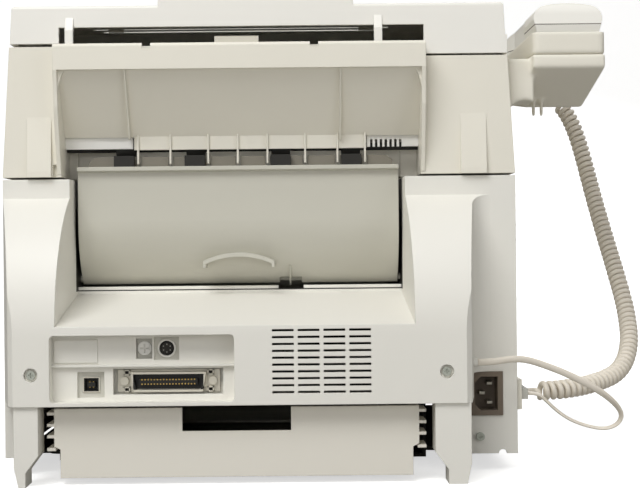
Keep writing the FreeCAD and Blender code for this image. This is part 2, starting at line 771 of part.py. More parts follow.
# Top cover: a shell with a level rear part and a panel sloping to the front.
cover_low_z = d.upper_top_z + d.cover_gap
slope_fall = d.cover_top_z - d.cover_front_z
slope_run = d.slope_y - d.cover_front_y
cover_outer = pad("top_outer", "YZ", [
    (d.cover_front_y + 3, d.upper_front_z + d.cover_gap - 2),
    (d.slope_y, cover_low_z),
    (d.band_y, cover_low_z),
    (d.band_y, d.cover_top_z - d.cover_round, d.cover_round),
    (d.band_y - d.cover_round, d.cover_top_z),
    (d.slope_y, d.cover_top_z),
    (d.cover_front_y, d.cover_front_z),
], d.left_x, d.right_x)
cover_cross = pad("top_cross", "XZ", [
    (d.left_x + d.upper_draft - 2.5, d.upper_front_z - 5),
    (d.right_x - d.upper_draft + 2.5, d.upper_front_z - 5),
    (d.right_x - d.upper_draft - 2, d.cover_top_z - d.cover_round, d.cover_round),
    (d.right_x - d.upper_draft - 2 - d.cover_round, d.cover_top_z),
    (d.left_x + d.upper_draft + 2 + d.cover_round, d.cover_top_z, d.cover_round),
    (d.left_x + d.upper_draft + 2, d.cover_top_z - d.cover_round),
], d.cover_front_y - 2, d.band_y + 2)
cover_room = pad("top_room", "YZ", [
    (d.cover_front_y + 3 + d.wall, d.upper_front_z - 20),
    (d.band_y - d.wall, d.upper_front_z - 20),
    (d.band_y - d.wall, d.cover_top_z - d.wall),
    (d.slope_y + 0.4, d.cover_top_z - d.wall),
    (d.cover_front_y + d.wall + 1, d.cover_front_z - d.wall + 0.6),
], d.left_x + d.upper_draft + 2 + d.wall, d.right_x - d.upper_draft - 2 - d.wall)
slot = box("rear_slot", hood_left_x, hood_right_x - 2, d.band_y - 8, d.band_y + 1,
           cover_low_z - 2, d.cover_slot_z)
skirt = box("rear_skirt", d.left_x + d.upper_draft - 0.5, hood_left_x - 1, d.band_y - d.wall, d.band_y,
            d.step_z + d.upper_gap, cover_low_z + 4)
side_skirt = box("side_skirt", d.left_x + d.upper_draft - 0.5, d.left_x + d.upper_draft + 2.5,
                 d.slope_y + 2, d.band_y, d.step_z + d.upper_gap, cover_low_z + 2)
hump_x = d.path_x - 14.5
hump = pad("hump", "XZ", [
    (hump_x - d.hump_width / 2, d.cover_top_z - d.cover_round - 1),
    (hump_x + d.hump_width / 2, d.cover_top_z - d.cover_round - 1),
    (hump_x + d.hump_width / 2, d.cover_top_z + d.hump_height - 3, size_of(3)),
    (hump_x + d.hump_width / 2 - 3, d.cover_top_z + d.hump_height),
    (hump_x - d.hump_width / 2 + 3, d.cover_top_z + d.hump_height, size_of(3)),
    (hump_x - d.hump_width / 2, d.cover_top_z + d.hump_height - 3),
], d.band_y - 6, d.band_y)
arms = []
for number, arm_x in enumerate(arm_spots):
    arms.append(pad(f"cover_arm_{number}", "YZ", [
        (d.hinge_y - 4, d.hinge_z - 4.5),
        (d.hinge_y + 4, d.hinge_z - 4.5),
        (d.hinge_y + 4.5, d.hinge_z),
        (d.hinge_y + 4, d.hinge_z + 4),
        (d.hinge_y - 3, d.hinge_z + 8),
        (d.hinge_y - 3, d.hinge_z + 20),
        (d.band_y - 1, d.hinge_z + 32),
        (d.band_y - d.wall, d.hinge_z + 32),
        (d.band_y - d.wall, d.cover_slot_z),
        (d.band_y + 1, d.cover_slot_z - 3),
        (d.band_y + 1, d.hinge_z + 4),
    ], arm_x - 3, arm_x + 3))
arm_bores = rod("arm_bores", "X", (hood_left_x + 2, d.hinge_y, d.hinge_z), d.hood_width - 4,
                d.hinge_radius + d.running_fit)
# The control panel's own frame: its middle on the slope, its height axis square to the slope.
slope_angle = math.degrees(math.atan2(slope_fall.value, slope_run.value))
panel_turn = FreeCAD.Rotation(V(1, 0, 0), slope_angle)
panel_mid_x = (d.left_x + d.right_x) / 2
panel_mid_y = (d.slope_y + d.cover_front_y) / 2
panel_mid_z = (d.cover_top_z + d.cover_front_z) / 2


def on_panel(obj, u, v, w):
    """Put an object on the panel: u across, v up the slope and w out of the face."""
    cosine = slope_run / root(slope_run * slope_run + slope_fall * slope_fall)
    sine = slope_fall / root(slope_run * slope_run + slope_fall * slope_fall)
    u, v, w = size_of(u), size_of(v), size_of(w)
    obj.Placement = FreeCAD.Placement(V(), panel_turn)
    place(obj, panel_mid_x + u, panel_mid_y + v * cosine - w * sine,
          panel_mid_z + v * sine + w * cosine)
    return obj


def panel_block(label, width, depth, height, u, v, w):
    """A block standing square on the panel, its lower face at w."""
    obj = doc.addObject("Part::Box", label)
    bind(obj, "Length", width)
    bind(obj, "Width", depth)
    bind(obj, "Height", height)
    return on_panel(obj, size_of(u) - size_of(width) / 2, size_of(v) - size_of(depth) / 2, w)


panel_room = panel_block("panel_room", d.panel_width + 0.6, d.panel_length + 0.6, size_of(20),
                         0, 0, -10)
slot_x0 = d.path_x - 112
document_slot = box("document_slot", slot_x0, slot_x0 + 224, d.slope_y + 12, d.slope_y + 18,
                    d.cover_top_z - 8, d.cover_top_z + 2)
guide_slot = box("guide_slot", slot_x0 - 6, slot_x0 + 230, d.slope_y + 27, d.slope_y + 31,
                 d.cover_top_z - 8, d.cover_top_z + 2)
top_shell = cut("top_shell", common("top_block", cover_outer, cover_cross), cover_room, slot,
                panel_room, document_slot, guide_slot)
top_solid = fuse("top_solid", top_shell, skirt, side_skirt, hump, *arms)

# Control panel with the display window and the keys.
KEY_SPOTS = {}
for number in range(12):
    KEY_SPOTS[f"dial_key_{number + 1:02d}"] = (40 + 19.0 * (number % 3), 26 - 16.0 * (number // 3), 0)
KEY_SPOTS["stop_key"] = (116, -6, 6)
KEY_SPOTS["start_key"] = (116, -28, 6)
panel_plate = panel_block("panel_plate", d.panel_width, d.panel_length, d.panel_plate + 1.4,
                          0, 0, -d.panel_plate - 0.8)
panel_flange = panel_block("panel_flange", d.panel_width + 8, d.panel_length + 8, size_of(1.5),
                           0, 0, -d.panel_plate - 2.2)
holes = []
for name, (u, v, extra) in KEY_SPOTS.items():
    holes.append(panel_block(name + "_hole", d.key_width + extra + 0.8, d.key_depth + extra / 3 + 0.8,
                             size_of(12), u, v, -8))
lcd_hole = panel_block("lcd_hole", d.lcd_width, d.lcd_depth, size_of(12), -40, 34, -8)
panel_solid = fuse("panel_solid", panel_plate, panel_flange)
node("control_panel", cut("control_panel", panel_solid, group("key_holes", *holes), lcd_hole))
node("display_window", panel_block("display_window", d.lcd_width - 0.4, d.lcd_depth - 0.4, size_of(3.4),
                                   -40, 34, -3.2))
for name, (u, v, extra) in KEY_SPOTS.items():
    cap = panel_block(name + "_cap", d.key_width + extra, d.key_depth + extra / 3,
                      d.panel_plate + d.key_rise + 3, u, v, -d.panel_plate - 3)
    base_flange = panel_block(name + "_flange", d.key_width + extra + 3, d.key_depth + extra / 3 + 3,
                              size_of(1), u, v, -d.panel_plate - 3.8)
    node(name, fuse(name, cap, base_flange))

# Document support, folded on the cover in front of the hump, and the two document guides.
support_y = d.band_y - 12
support_z = d.cover_top_z + 4
support_leaf = box("support_leaf", hump_x - d.hump_width / 2 + 8, hump_x + d.hump_width / 2 - 8,
                   support_y - 62, support_y, d.cover_top_z + 1, d.cover_top_z + 4)
support_barrel = rod("support_barrel", "X", (hump_x - d.hump_width / 2 + 8, support_y, support_z),
                     d.hump_width - 16, size_of(3))
support_pin = rod("support_pin", "X", (hump_x - d.hump_width / 2 + 4, support_y, support_z),
                  d.hump_width - 8, size_of(1.5))
node("document_support", fuse("document_support", support_leaf, support_barrel, support_pin))
ears = []
for side in (-1, 1):
    ear_x = hump_x + side * (d.hump_width / 2 - 5)
    ear = box(f"support_ear_{side + 1}", ear_x - 2.4, ear_x + 2.4, support_y - 4, d.band_y - 5,
              d.cover_top_z, d.cover_top_z + 8)
    ears.append(cut(f"support_bracket_{side + 1}", ear,
                    rod(f"ear_bore_{side + 1}", "X", (ear_x - 4, support_y, support_z), size_of(8),
                        size_of(1.5) + d.running_fit)))
node("top_cover", fuse("top_cover", cut("top_hinged", top_solid, arm_bores), *ears))
for name, side in (("document_guide_left", -1), ("document_guide_right", 1)):
    guide_x = d.path_x + side * 100
    blade = box(name + "_blade", guide_x - 1.5, guide_x + 1.5, d.slope_y + 22, d.slope_y + 50,
                d.cover_top_z + 0.3, d.cover_top_z + 11)
    shoe = box(name + "_shoe", guide_x - 6, guide_x + 6, d.slope_y + 27.5, d.slope_y + 30.5,
               d.cover_top_z - 5, d.cover_top_z + 2)
    node(name, fuse(name, blade, shoe))

# Scanner: sensor bar with its glass, and the document feed roller in the bay.
bay_left = d.left_x + 16
bay_right = d.right_x - 16
node("scan_bar", box("scan_bar", d.path_x - 115, d.path_x + 115, d.slope_y - 14, d.slope_y + 6,
                     d.bay_floor_z, d.bay_floor_z + 18))
feed_y = d.slope_y + 32
feed_z = d.bay_floor_z + 16


def roller(label, y, z, low, high, shaft, radius, width, offsets):
    """A shaft along X with rubber rollers at offsets from the paper's middle."""
    parts = [rod(label + "_shaft", "X", (low, y, z), high - low, shaft)]
    for number, offset in enumerate(offsets):
        parts.append(rod(f"{label}_tyre_{number}", "X", (d.path_x + offset - size_of(width) / 2, y, z),
                         size_of(width), radius))
    return fuse(label, *parts)


node("document_roller", roller("document_roller", feed_y, feed_z, d.path_x - 112, d.path_x + 112,
                               size_of(4), size_of(9), 30, (-35, 35)))
stands = []
for side in (-1, 1):
    stand_x = d.path_x + side * 114
    stand = box(f"roller_stand_{side + 1}", stand_x - 5, stand_x + 5, feed_y - 8, feed_y + 8,
                d.bay_floor_z, feed_z + 8)
    stands.append(cut(f"roller_bearing_{side + 1}", stand,
                      rod(f"stand_bore_{side + 1}", "X", (stand_x - 2.5 - side * 3.5, feed_y, feed_z),
                          size_of(5), size_of(4) + d.running_fit)))
strip_notches = [
    box("strip_notch_right", d.path_x + 77, hood_right_x - d.wall, panel_y - 6, panel_y + 4,
        d.hood_strip_z - 12, d.hood_panel_z - 0.5),
    box("strip_notch_left", hood_left_x + d.wall, d.path_x - 95.5, panel_y - 6, panel_y + 4,
        d.hood_strip_z - 12, d.hood_panel_z - 0.5),
]
delivery_wall = box("delivery_wall", d.path_x - d.mouth_width / 2 - 1, d.path_x + d.mouth_width / 2 + 1,
                    d.exit_y - 17, d.exit_y - 14, d.upper_low_z, d.exit_z - 2)
node("upper_housing", fuse("upper_housing", cut("upper_bored", upper_solid, exit_bores, pin_bores, arm_gap,
                                                *strip_notches, *clip_notches),
                           delivery_wall, *wedges, *stands))

guide_y = panel_y - d.hood_skin - 1.6
exit_guides = [box("exit_guide_right", d.path_x + 78, hood_right_x - d.wall, guide_y, guide_y + 1.4,
                   d.hood_strip_z + 1, d.hood_panel_z - 0.3)]
comb = box("exit_comb", hood_left_x + d.wall, d.path_x - 96, guide_y, guide_y + 1.4, d.hood_strip_z + 1,
           d.hood_panel_z - 0.3)
comb_cuts = []
for number in range(7):
    comb_x = d.path_x - 98.5 - 3.6 * number
    comb_cuts.append(box(f"comb_cut_{number}", comb_x - 1.8, comb_x, guide_y - 1, guide_y + 3,
                         d.hood_strip_z, d.hood_panel_z - 3.5))
exit_guides.append(cut("exit_comb_cut", comb, *comb_cuts))
node("exit_guides", group("exit_guides", *exit_guides))

# Jam cover: a curved plate hinged at its lower edge, with a finger grip and the pinch rollers.
jam_y = d.rear_y - d.jam_face_depth
bend_y = jam_y - d.jam_bend_radius
bend_fall = d.jam_bend_z - d.jam_low_z
bend_reach = root(d.jam_bend_radius * d.jam_bend_radius - bend_fall * bend_fall)
inner_share = (d.jam_bend_radius - d.jam_skin) / d.jam_bend_radius
jam_right_x = d.path_x + d.jam_width / 2
jam_left_x = d.path_x - d.jam_width / 2
jam_plate = pad("jam_plate", "YZ", [
    (bend_y + bend_reach, d.jam_low_z, d.jam_bend_radius),
    (jam_y, d.jam_bend_z),
    (jam_y, d.jam_top_z - d.jam_lip),
    (jam_y + d.jam_lip, d.jam_top_z - d.jam_lip + 1),
    (jam_y + d.jam_lip, d.jam_top_z),
    (jam_y - d.jam_skin, d.jam_top_z),
    (jam_y - d.jam_skin, d.jam_bend_z, -(d.jam_bend_radius - d.jam_skin)),
    (bend_y + bend_reach * inner_share, d.jam_bend_z - bend_fall * inner_share),
], jam_left_x, jam_right_x)
grip_radius = (d.grip_width * d.grip_width / 4 + d.grip_rise * d.grip_rise) / (2 * d.grip_rise)
grip = pad("jam_grip", "XZ", [
    (d.path_x - d.grip_width / 2, d.grip_z - 5),
    (d.path_x - d.grip_width / 2 + 2.2, d.grip_z - 5),
    (d.path_x - d.grip_width / 2 + 2.2, d.grip_z - 2.2, -(grip_radius - 2.5)),
    (d.path_x + d.grip_width / 2 - 2.2, d.grip_z - 2.2),
    (d.path_x + d.grip_width / 2 - 2.2, d.grip_z - 5),
    (d.path_x + d.grip_width / 2, d.grip_z - 5),
    (d.path_x + d.grip_width / 2, d.grip_z, grip_radius),
    (d.path_x - d.grip_width / 2, d.grip_z),
], jam_y - 20, jam_y + 4)
grip_trim = pad("grip_trim", "YZ", [
    (bend_y, d.jam_low_z - 20),
    (bend_y + bend_reach * inner_share, d.jam_low_z - 20),
    (bend_y + bend_reach * inner_share, d.jam_bend_z - bend_fall * inner_share,
     d.jam_bend_radius - d.jam_skin),
    (jam_y - d.jam_skin, d.jam_bend_z),
    (bend_y, d.jam_bend_z),
], jam_left_x, jam_right_x)
jam_barrel = rod("jam_barrel", "X", (jam_left_x, jam_axis_y, jam_axis_z), d.jam_width, size_of(3.6))
jam_pins = rod("jam_pins", "X", (d.path_x - d.opening_width / 2 - 0.5, jam_axis_y, jam_axis_z),
               d.opening_width + 1, size_of(2.5))
tab_x = d.path_x - 38
rib_share = (d.jam_bend_radius + 2) / d.jam_bend_radius
tab_fall = d.jam_bend_z - (d.jam_low_z + 13)
tab_reach = root((d.jam_bend_radius + 2) * (d.jam_bend_radius + 2) - tab_fall * tab_fall)
jam_tab = pad("jam_tab", "YZ", [
    (bend_y + bend_reach * inner_share, d.jam_bend_z - bend_fall * inner_share),
    (bend_y + bend_reach * rib_share, d.jam_bend_z - bend_fall * rib_share, d.jam_bend_radius + 2),
    (bend_y + tab_reach, d.jam_bend_z - tab_fall),
    (bend_y + bend_reach + 4, d.jam_low_z + 13),
], tab_x - 0.7, tab_x + 0.7)
tab_room = box("tab_room", tab_x - 8.5, tab_x + 8, jam_axis_y - 6, jam_axis_y + 20, d.jam_low_z - 3,
               d.jam_low_z + 4.5)
jam_solid = cut("jam_solid", fuse("jam_blank", jam_plate, cut("jam_grip_trimmed", grip, grip_trim), jam_barrel),
                tab_room)
node("jam_cover", fuse("jam_cover", jam_solid, jam_tab, jam_pins))
guide_plate = pad("pinch_guide_plate", "XZ", [
    (d.path_x - 115, d.jam_top_z - 8),
    (d.path_x + 111, d.jam_top_z - 8),
    (d.path_x + 111, d.jam_top_z + 4),
    (d.path_x + 106, d.jam_top_z + 7.5),
    (d.path_x - 110, d.jam_top_z + 7.5),
    (d.path_x - 115, d.jam_top_z + 4),
], jam_y - d.jam_skin - 1.6, jam_y - d.jam_skin - 0.6)
guide_slots = []
for number, offset in enumerate((-74.0, -50.0, -22.0, 0.0, 22.0, 50.0, 74.0, 94.4)):
    slot_x = d.path_x - offset
    guide_slots.append(box(f"guide_notch_{number}", slot_x - 1.8, slot_x + 1.8, jam_y - d.jam_skin - 3, jam_y,
                           d.jam_top_z + 0.8, d.jam_top_z + 9))
node("pinch_guide", cut("pinch_guide", guide_plate, *guide_slots))
holders = []
pinch_y = jam_y + 0.5
pinch_z = d.jam_top_z + 4.5
for number, offset in enumerate((-d.pinch_step_outer, -d.pinch_step_inner, d.pinch_step_inner,
                                 d.pinch_step_outer)):
    spot_x = d.path_x + offset
    holders.append(box(f"pinch_holder_{number}", spot_x - 7.5, spot_x + 7.5, jam_y - 2, jam_y + 3.5,
                       d.jam_top_z, d.jam_top_z + 8))
node("pinch_holders", group("pinch_holders", *holders))

# Exit roller behind the slot, with its gear at the left end.
node("exit_roller", roller("exit_roller", d.exit_y, d.exit_z, hood_left_x - 5, hood_right_x + 5,
                           d.shaft_radius, d.exit_radius, 14,
                           (-d.pinch_step_outer, -d.pinch_step_inner, d.pinch_step_inner,
                            d.pinch_step_outer)))

# Base frame: the cassette's rails, the deck over it and two side plates that carry the engine.
rail_right_x = d.path_x + d.rail_width / 2
rail_left_x = d.path_x - d.rail_width / 2
plate_right_x = d.path_x + d.plate_width / 2
plate_left_x = d.path_x - d.plate_width / 2
frame_front_y = d.front_face_y + 12
frame_rear_y = d.throat_y - 4
deck_top_z = d.deck_z + d.wall
plate_top_z = d.seam_z - 22
rail_low_z = d.cassette_low_z - 2.6
frame_parts = [
    box("frame_deck", rail_left_x - d.wall, rail_right_x + d.wall, frame_front_y + 6, frame_rear_y,
        d.deck_z, deck_top_z),
    box("frame_rail_right", rail_right_x, rail_right_x + d.wall, frame_front_y, frame_rear_y, rail_low_z,
        deck_top_z),
    box("frame_rail_left", rail_left_x - d.wall, rail_left_x, frame_front_y, frame_rear_y, rail_low_z,
        deck_top_z),
    box("frame_ledge_right", d.path_x + d.cassette_width / 2 - 6, rail_right_x + 1, frame_front_y,
        frame_rear_y, rail_low_z, d.cassette_low_z - 0.2),
    box("frame_ledge_left", rail_left_x - 1, d.path_x - d.cassette_width / 2 + 6, frame_front_y,
        frame_rear_y, rail_low_z, d.cassette_low_z - 0.2),
    box("frame_sole_right", rail_right_x, d.right_x - d.wall - d.gap, frame_front_y, frame_rear_y,
        size_of(8), size_of(11)),
    box("frame_sole_left", d.left_x + d.wall + d.gap, rail_left_x, frame_front_y, frame_rear_y,
        size_of(8), size_of(11)),
    box("frame_plate_right", plate_right_x, plate_right_x + 4, frame_front_y + 6, frame_rear_y,
        d.deck_z, plate_top_z),
    box("frame_plate_left", plate_left_x - 4, plate_left_x, frame_front_y + 6, frame_rear_y,
        d.deck_z, plate_top_z),
]
door_axis_y = d.front_face_y + 8
door_axis_z = d.front_low_z + 6.5
for name, lug_x in (("right", plate_right_x), ("left", plate_left_x - 4)):
    frame_parts.append(box(f"frame_lug_{name}", lug_x, lug_x + 4, door_axis_y, frame_front_y + 10,
                           door_axis_z - 4.2, door_axis_z + 4.2))
    frame_parts.append(rod(f"frame_eye_{name}", "X", (lug_x, door_axis_y, door_axis_z), size_of(4),
                           size_of(4.2)))
pickup_y = d.front_face_y + 70
pickup_z = d.deck_z + 19
heat_y = d.throat_y - 38
heat_z = size_of(140)
press_z = heat_z - 29
bores = [
    rod("door_bores", "X", (plate_left_x - 5, door_axis_y, door_axis_z), d.plate_width + 10,
        size_of(3) + d.running_fit),
    rod("pickup_bores", "X", (plate_left_x - 5, pickup_y, pickup_z), d.plate_width + 10,
        d.shaft_radius + d.running_fit),
    rod("heat_bores", "X", (plate_left_x - 5, heat_y, heat_z), d.plate_width + 10,
        size_of(6) + d.running_fit),
    rod("press_bores", "X", (plate_left_x - 5, heat_y, press_z), d.plate_width + 10,
        size_of(5) + d.running_fit),
    box("pickup_window", d.path_x - 40, d.path_x + 40, pickup_y - 24, pickup_y + 24, d.deck_z - 1,
        deck_top_z + 1),
]
node("base_frame", cut("base_frame", fuse("frame_solid", *frame_parts), *bores))
feet = []
for x in (rail_right_x + 12, rail_left_x - 12):
    for y in (frame_front_y + 24, frame_rear_y - 60):
        feet.append(rod(f"foot_{len(feet)}", "Z", (x, y, size_of(0)), size_of(8), size_of(9)))
node("rubber_feet", group("rubber_feet", *feet))

# Print engine between the side plates.
node("pickup_roller", roller("pickup_roller", pickup_y, pickup_z, plate_left_x - 4, plate_right_x + 4,
                             d.shaft_radius, size_of(16), 60, (0,)))
heat_roller = roller("heat_roller", heat_y, heat_z, plate_left_x - 4, plate_right_x + 4,
                     size_of(6), size_of(14.3), d.plate_width - 30, (0,))
node("heat_roller", heat_roller)
node("pressure_roller", roller("pressure_roller", heat_y, press_z, plate_left_x - 4, plate_right_x + 4,
                               size_of(5), size_of(14.3), d.plate_width - 32, (0,)))
engine_run = (heat_y - d.front_face_y) / 258
drum_low = d.path_x - d.plate_width / 2
drum_high = d.path_x + d.plate_width / 2
node("drum_unit", pad("drum_unit", "YZ", [
    (heat_y - engine_run * 150, deck_top_z + 40),
    (heat_y - engine_run * 60, deck_top_z + 26),
    (heat_y - 34, deck_top_z + 26),
    (heat_y - 28, deck_top_z + 60),
    (heat_y - engine_run * 60, deck_top_z + 74),
    (heat_y - engine_run * 150, deck_top_z + 62),
], drum_low, drum_high))
node("toner_cartridge", pad("toner_cartridge", "YZ", [
    (heat_y - engine_run * 218, deck_top_z + 48),
    (heat_y - engine_run * 150 - 0.3, deck_top_z + 40),
    (heat_y - engine_run * 150 - 0.3, deck_top_z + 78),
    (heat_y - engine_run * 170, deck_top_z + 100),
    (heat_y - engine_run * 210, deck_top_z + 104),
    (heat_y - engine_run * 224, deck_top_z + 84),
], drum_low + 4, drum_high - 4))
node("laser_unit", pad("laser_unit", "YZ", [
    (heat_y - engine_run * 138, plate_top_z - 46),
    (heat_y - 50, plate_top_z - 34),
    (heat_y - 50, plate_top_z - 6),
    (heat_y - engine_run * 138, plate_top_z - 6),
], plate_left_x, plate_right_x))

# Lower housing: side covers that wrap round the front corners, the front door and the output deck.
side_top_z = d.seam_z
side_rear_y = d.inner_band_y - d.gap
front_right_x = d.path_x + d.front_width / 2
front_left_x = d.path_x - d.front_width / 2


def side_cover(label, outer_x, inner_x, side):
    """A side wall with its front return: side is +1 at the right and -1 at the left."""
    corners = [
        (inner_x, d.front_face_y),
        (outer_x - side * 12, d.front_face_y, size_of(12) * side),
        (outer_x, d.front_face_y + 12),
        (outer_x, side_rear_y),
        (outer_x - side * d.wall, side_rear_y),
        (outer_x - side * d.wall, d.front_face_y + 12, size_of(-9) * side),
        (outer_x - side * 12, d.front_face_y + d.wall),
        (inner_x, d.front_face_y + d.wall),
    ]
    return pad(label, "XY", corners, d.skirt_z, side_top_z)


right_side = side_cover("right_side", d.right_x, front_right_x + d.gap, 1)
left_side = side_cover("left_side", d.left_x, front_left_x - d.gap, -1)
right_shelf = box("right_shelf", front_right_x + d.gap, d.right_x - 1, d.front_face_y + 14, d.throat_y - 4,
                  d.seam_z - 3, d.upper_low_z)
left_shelf = box("left_shelf", d.left_x + 1, front_left_x - d.gap, d.front_face_y + 14, d.throat_y - 4,
                 d.seam_z - 3, d.upper_low_z)
shelf_trim = [
    box("right_shelf_trim", d.right_x - d.wall, d.right_x + 1, d.front_y, d.throat_y, d.seam_z,
        d.seam_z + 10),
    box("left_shelf_trim", d.left_x - 1, d.left_x + d.wall, d.front_y, d.throat_y, d.seam_z,
        d.seam_z + 10),
]
node("right_side_cover", cut("right_side_cover", fuse("right_side_solid", right_side, right_shelf),
                             shelf_trim[0]))
jack_y = d.band_y - 21
jack_z = size_of(55)
jack_room = box("jack_room", d.left_x - 5, d.left_x + 10, jack_y - 17, jack_y + 17, jack_z - 11.5,
                jack_z + 11.5)
louvres = []
for number in range(8):
    louvre_z = size_of(124) + 11 * number
    louvres.append(pad(f"louvre_{number}", "XZ", [
        (d.left_x + 1, louvre_z),
        (d.left_x + 1, louvre_z + 7),
        (d.left_x - 2.2, louvre_z + 1),
        (d.left_x - 2.2, louvre_z),
    ], side_rear_y - 130, side_rear_y - 10))
left_solid = fuse("left_side_solid", cut("left_side_cut", left_side, jack_room), left_shelf, *louvres)
node("left_side_cover", cut("left_side_cover", left_solid, shelf_trim[1]))
door_plate = pad("door_plate", "XZ", [
    (front_left_x, d.front_low_z),
    (front_right_x, d.front_low_z),
    (front_right_x, d.front_top_z),
    (front_left_x, d.front_top_z),
], d.front_face_y, d.front_face_y + d.wall)
door_arms = []
for side in (-1, 1):
    door_x = d.path_x + side * (d.plate_width / 2 - 6)
    arm = pad(f"door_arm_{side + 1}", "YZ", [
        (d.front_face_y + d.wall - 0.5, door_axis_z - 4),
        (door_axis_y, door_axis_z - 4, size_of(4.2)),
        (door_axis_y, door_axis_z + 4),
        (d.front_face_y + d.wall - 0.5, door_axis_z + 6),
    ], door_x - 4, door_x + 4)
    door_arms.append(arm)
    pin_x = door_x if side > 0 else door_x - 13
    door_arms.append(rod(f"door_pin_{side + 1}", "X", (pin_x, door_axis_y, door_axis_z), size_of(13),
                         size_of(3)))
door_ribs = []
for offset in (-100, -50, 0, 50, 100):
    door_ribs.append(box(f"door_rib_{offset + 100}", d.path_x + offset - 1, d.path_x + offset + 1,
                         d.front_face_y + d.wall - 0.5, d.front_face_y + d.wall + 5,
                         d.front_low_z + 20, d.front_top_z - 8))
door_ledge = box("door_ledge", front_left_x + 60, front_right_x - 60, d.front_face_y + d.wall - 0.5,
                 d.front_face_y + d.wall + 6, d.front_top_z - 4, d.front_top_z)
node("front_cover", fuse("front_cover", door_plate, door_ledge, *door_arms, *door_ribs))
deck_low_z = d.front_top_z + d.gap
node("output_deck", pad("output_deck", "YZ", [
    (d.front_face_y, deck_low_z),
    (d.front_face_y + d.wall, deck_low_z),
    (d.front_face_y + d.wall, d.seam_z - 6),
    (frame_front_y + 60, d.seam_z - 6),
    (d.throat_y - 3, plate_top_z + 0.3),
    (d.throat_y - 3, plate_top_z + 4),
    (frame_front_y + 60, d.seam_z),
    (d.front_face_y, d.seam_z),
], front_left_x, front_right_x))
# Paper cassette with its lift plate.
cassette_rear_y = d.rear_y - d.cassette_rear_depth
cassette_front_y = d.front_y
cassette_right_x = d.path_x + d.cassette_width / 2
cassette_left_x = d.path_x - d.cassette_width / 2
flange_right_x = d.path_x + d.cassette_flange / 2
flange_left_x = d.path_x - d.cassette_flange / 2
cassette_body = pad("cassette_body", "XZ", [
    (cassette_left_x, d.cassette_low_z),
    (cassette_right_x, d.cassette_low_z),
    (cassette_right_x, d.cassette_low_z + 20),
    (flange_right_x, d.cassette_low_z + 22),
    (flange_right_x, d.cassette_top_z),
    (flange_left_x, d.cassette_top_z),
    (flange_left_x, d.cassette_low_z + 22),
    (cassette_left_x, d.cassette_low_z + 20),
], d.front_face_y + 2, cassette_rear_y)
cassette_room = pad("cassette_room", "XZ", [
    (cassette_left_x + d.cassette_skin, d.cassette_low_z + d.cassette_skin),
    (cassette_right_x - d.cassette_skin, d.cassette_low_z + d.cassette_skin),
    (cassette_right_x - d.cassette_skin, d.cassette_top_z + 1),
    (cassette_left_x + d.cassette_skin, d.cassette_top_z + 1),
], d.front_face_y + 6, cassette_rear_y - d.cassette_skin)
cassette_front = pad("cassette_front", "XZ", [
    (front_left_x, d.cassette_low_z),
    (front_right_x, d.cassette_low_z),
    (front_right_x, d.cassette_top_z),
    (front_left_x, d.cassette_top_z),
], cassette_front_y, d.front_face_y + 6)
rear_notch = box("rear_notch", d.path_x - 38, d.path_x + 38, cassette_rear_y - d.cassette_skin - 1,
                 cassette_rear_y + 1, d.cassette_low_z + 32, d.cassette_top_z + 1)
handle_room = box("handle_room", d.path_x - 55, d.path_x + 55, cassette_front_y - 1,
                  cassette_front_y + 11, d.cassette_low_z + 6, d.cassette_low_z + 30)
fins = []
for number, fin_z in enumerate((24, 33, 41, 49)):
    for side in (-1, 1):
        fin_x = d.path_x + side * (d.cassette_flange / 2 + 2)
        fins.append(box(f"cassette_fin_{number}_{side + 1}", fin_x - 3, fin_x + 3, cassette_rear_y - 24,
                        cassette_rear_y, size_of(fin_z), size_of(fin_z + 2)))
lift_axis_y = d.front_face_y + 150
lift_axis_z = d.cassette_low_z + 8.75
lift_bores = rod("lift_bores", "X", (cassette_left_x + 0.6, lift_axis_y, lift_axis_z),
                 d.cassette_width - 1.2, size_of(1.5) + d.running_fit)
cassette_solid = cut("cassette_solid", fuse("cassette_blank", cassette_body, cassette_front, *fins),
                     cassette_room, rear_notch, handle_room, lift_bores)
node("paper_cassette", cassette_solid)
lift_leaf = box("lift_leaf", cassette_left_x + 6, cassette_right_x - 6, d.front_face_y + 12,
                lift_axis_y, d.cassette_low_z + 8, d.cassette_low_z + 9.5)
lift_pins = rod("lift_pins", "X", (cassette_left_x + 0.9, lift_axis_y, lift_axis_z),
                d.cassette_width - 1.8, size_of(1.5))
node("lift_plate", fuse("lift_plate", lift_leaf, lift_pins))

# Sockets in the recess, the mains inlet and the jacks at the left side.
plate_y = recess_y - 9
spacers = [box("interface_sheet", recess_left_x + 2, recess_right_x - 2, plate_y - 1.2, plate_y,
               d.recess_low_z + 2, d.recess_high_z - 2)]
for number, x in enumerate((recess_left_x + 6, recess_right_x - 6)):
    for level, z in enumerate((d.recess_low_z + 6, d.recess_high_z - 6)):
        spacers.append(rod(f"spacer_{number}_{level}", "Y", (x, plate_y - 1, z), recess_y - d.wall - plate_y + 1,
                           size_of(2.5)))
node("interface_plate", fuse("interface_plate", *spacers))
usb_case = box("usb_case", usb_x - 6, usb_x + 6, plate_y, recess_y - 2, usb_z - 5.4, usb_z + 5.4)
usb_mouth = box("usb_mouth", usb_x - 4.3, usb_x + 4.3, plate_y + 1.5, recess_y + 1, usb_z - 4,
                usb_z + 4)
usb_tongue = box("usb_tongue", usb_x - 2.8, usb_x + 2.8, plate_y, recess_y - 2.5, usb_z - 1.6,
                 usb_z + 1.6)
node("usb_socket", fuse("usb_socket", cut("usb_shell", usb_case, usb_mouth), usb_tongue))
parallel_flange = box("parallel_flange", parallel_x - 36, parallel_x + 36, plate_y, plate_y + 2,
                      parallel_z - 8, parallel_z + 8)
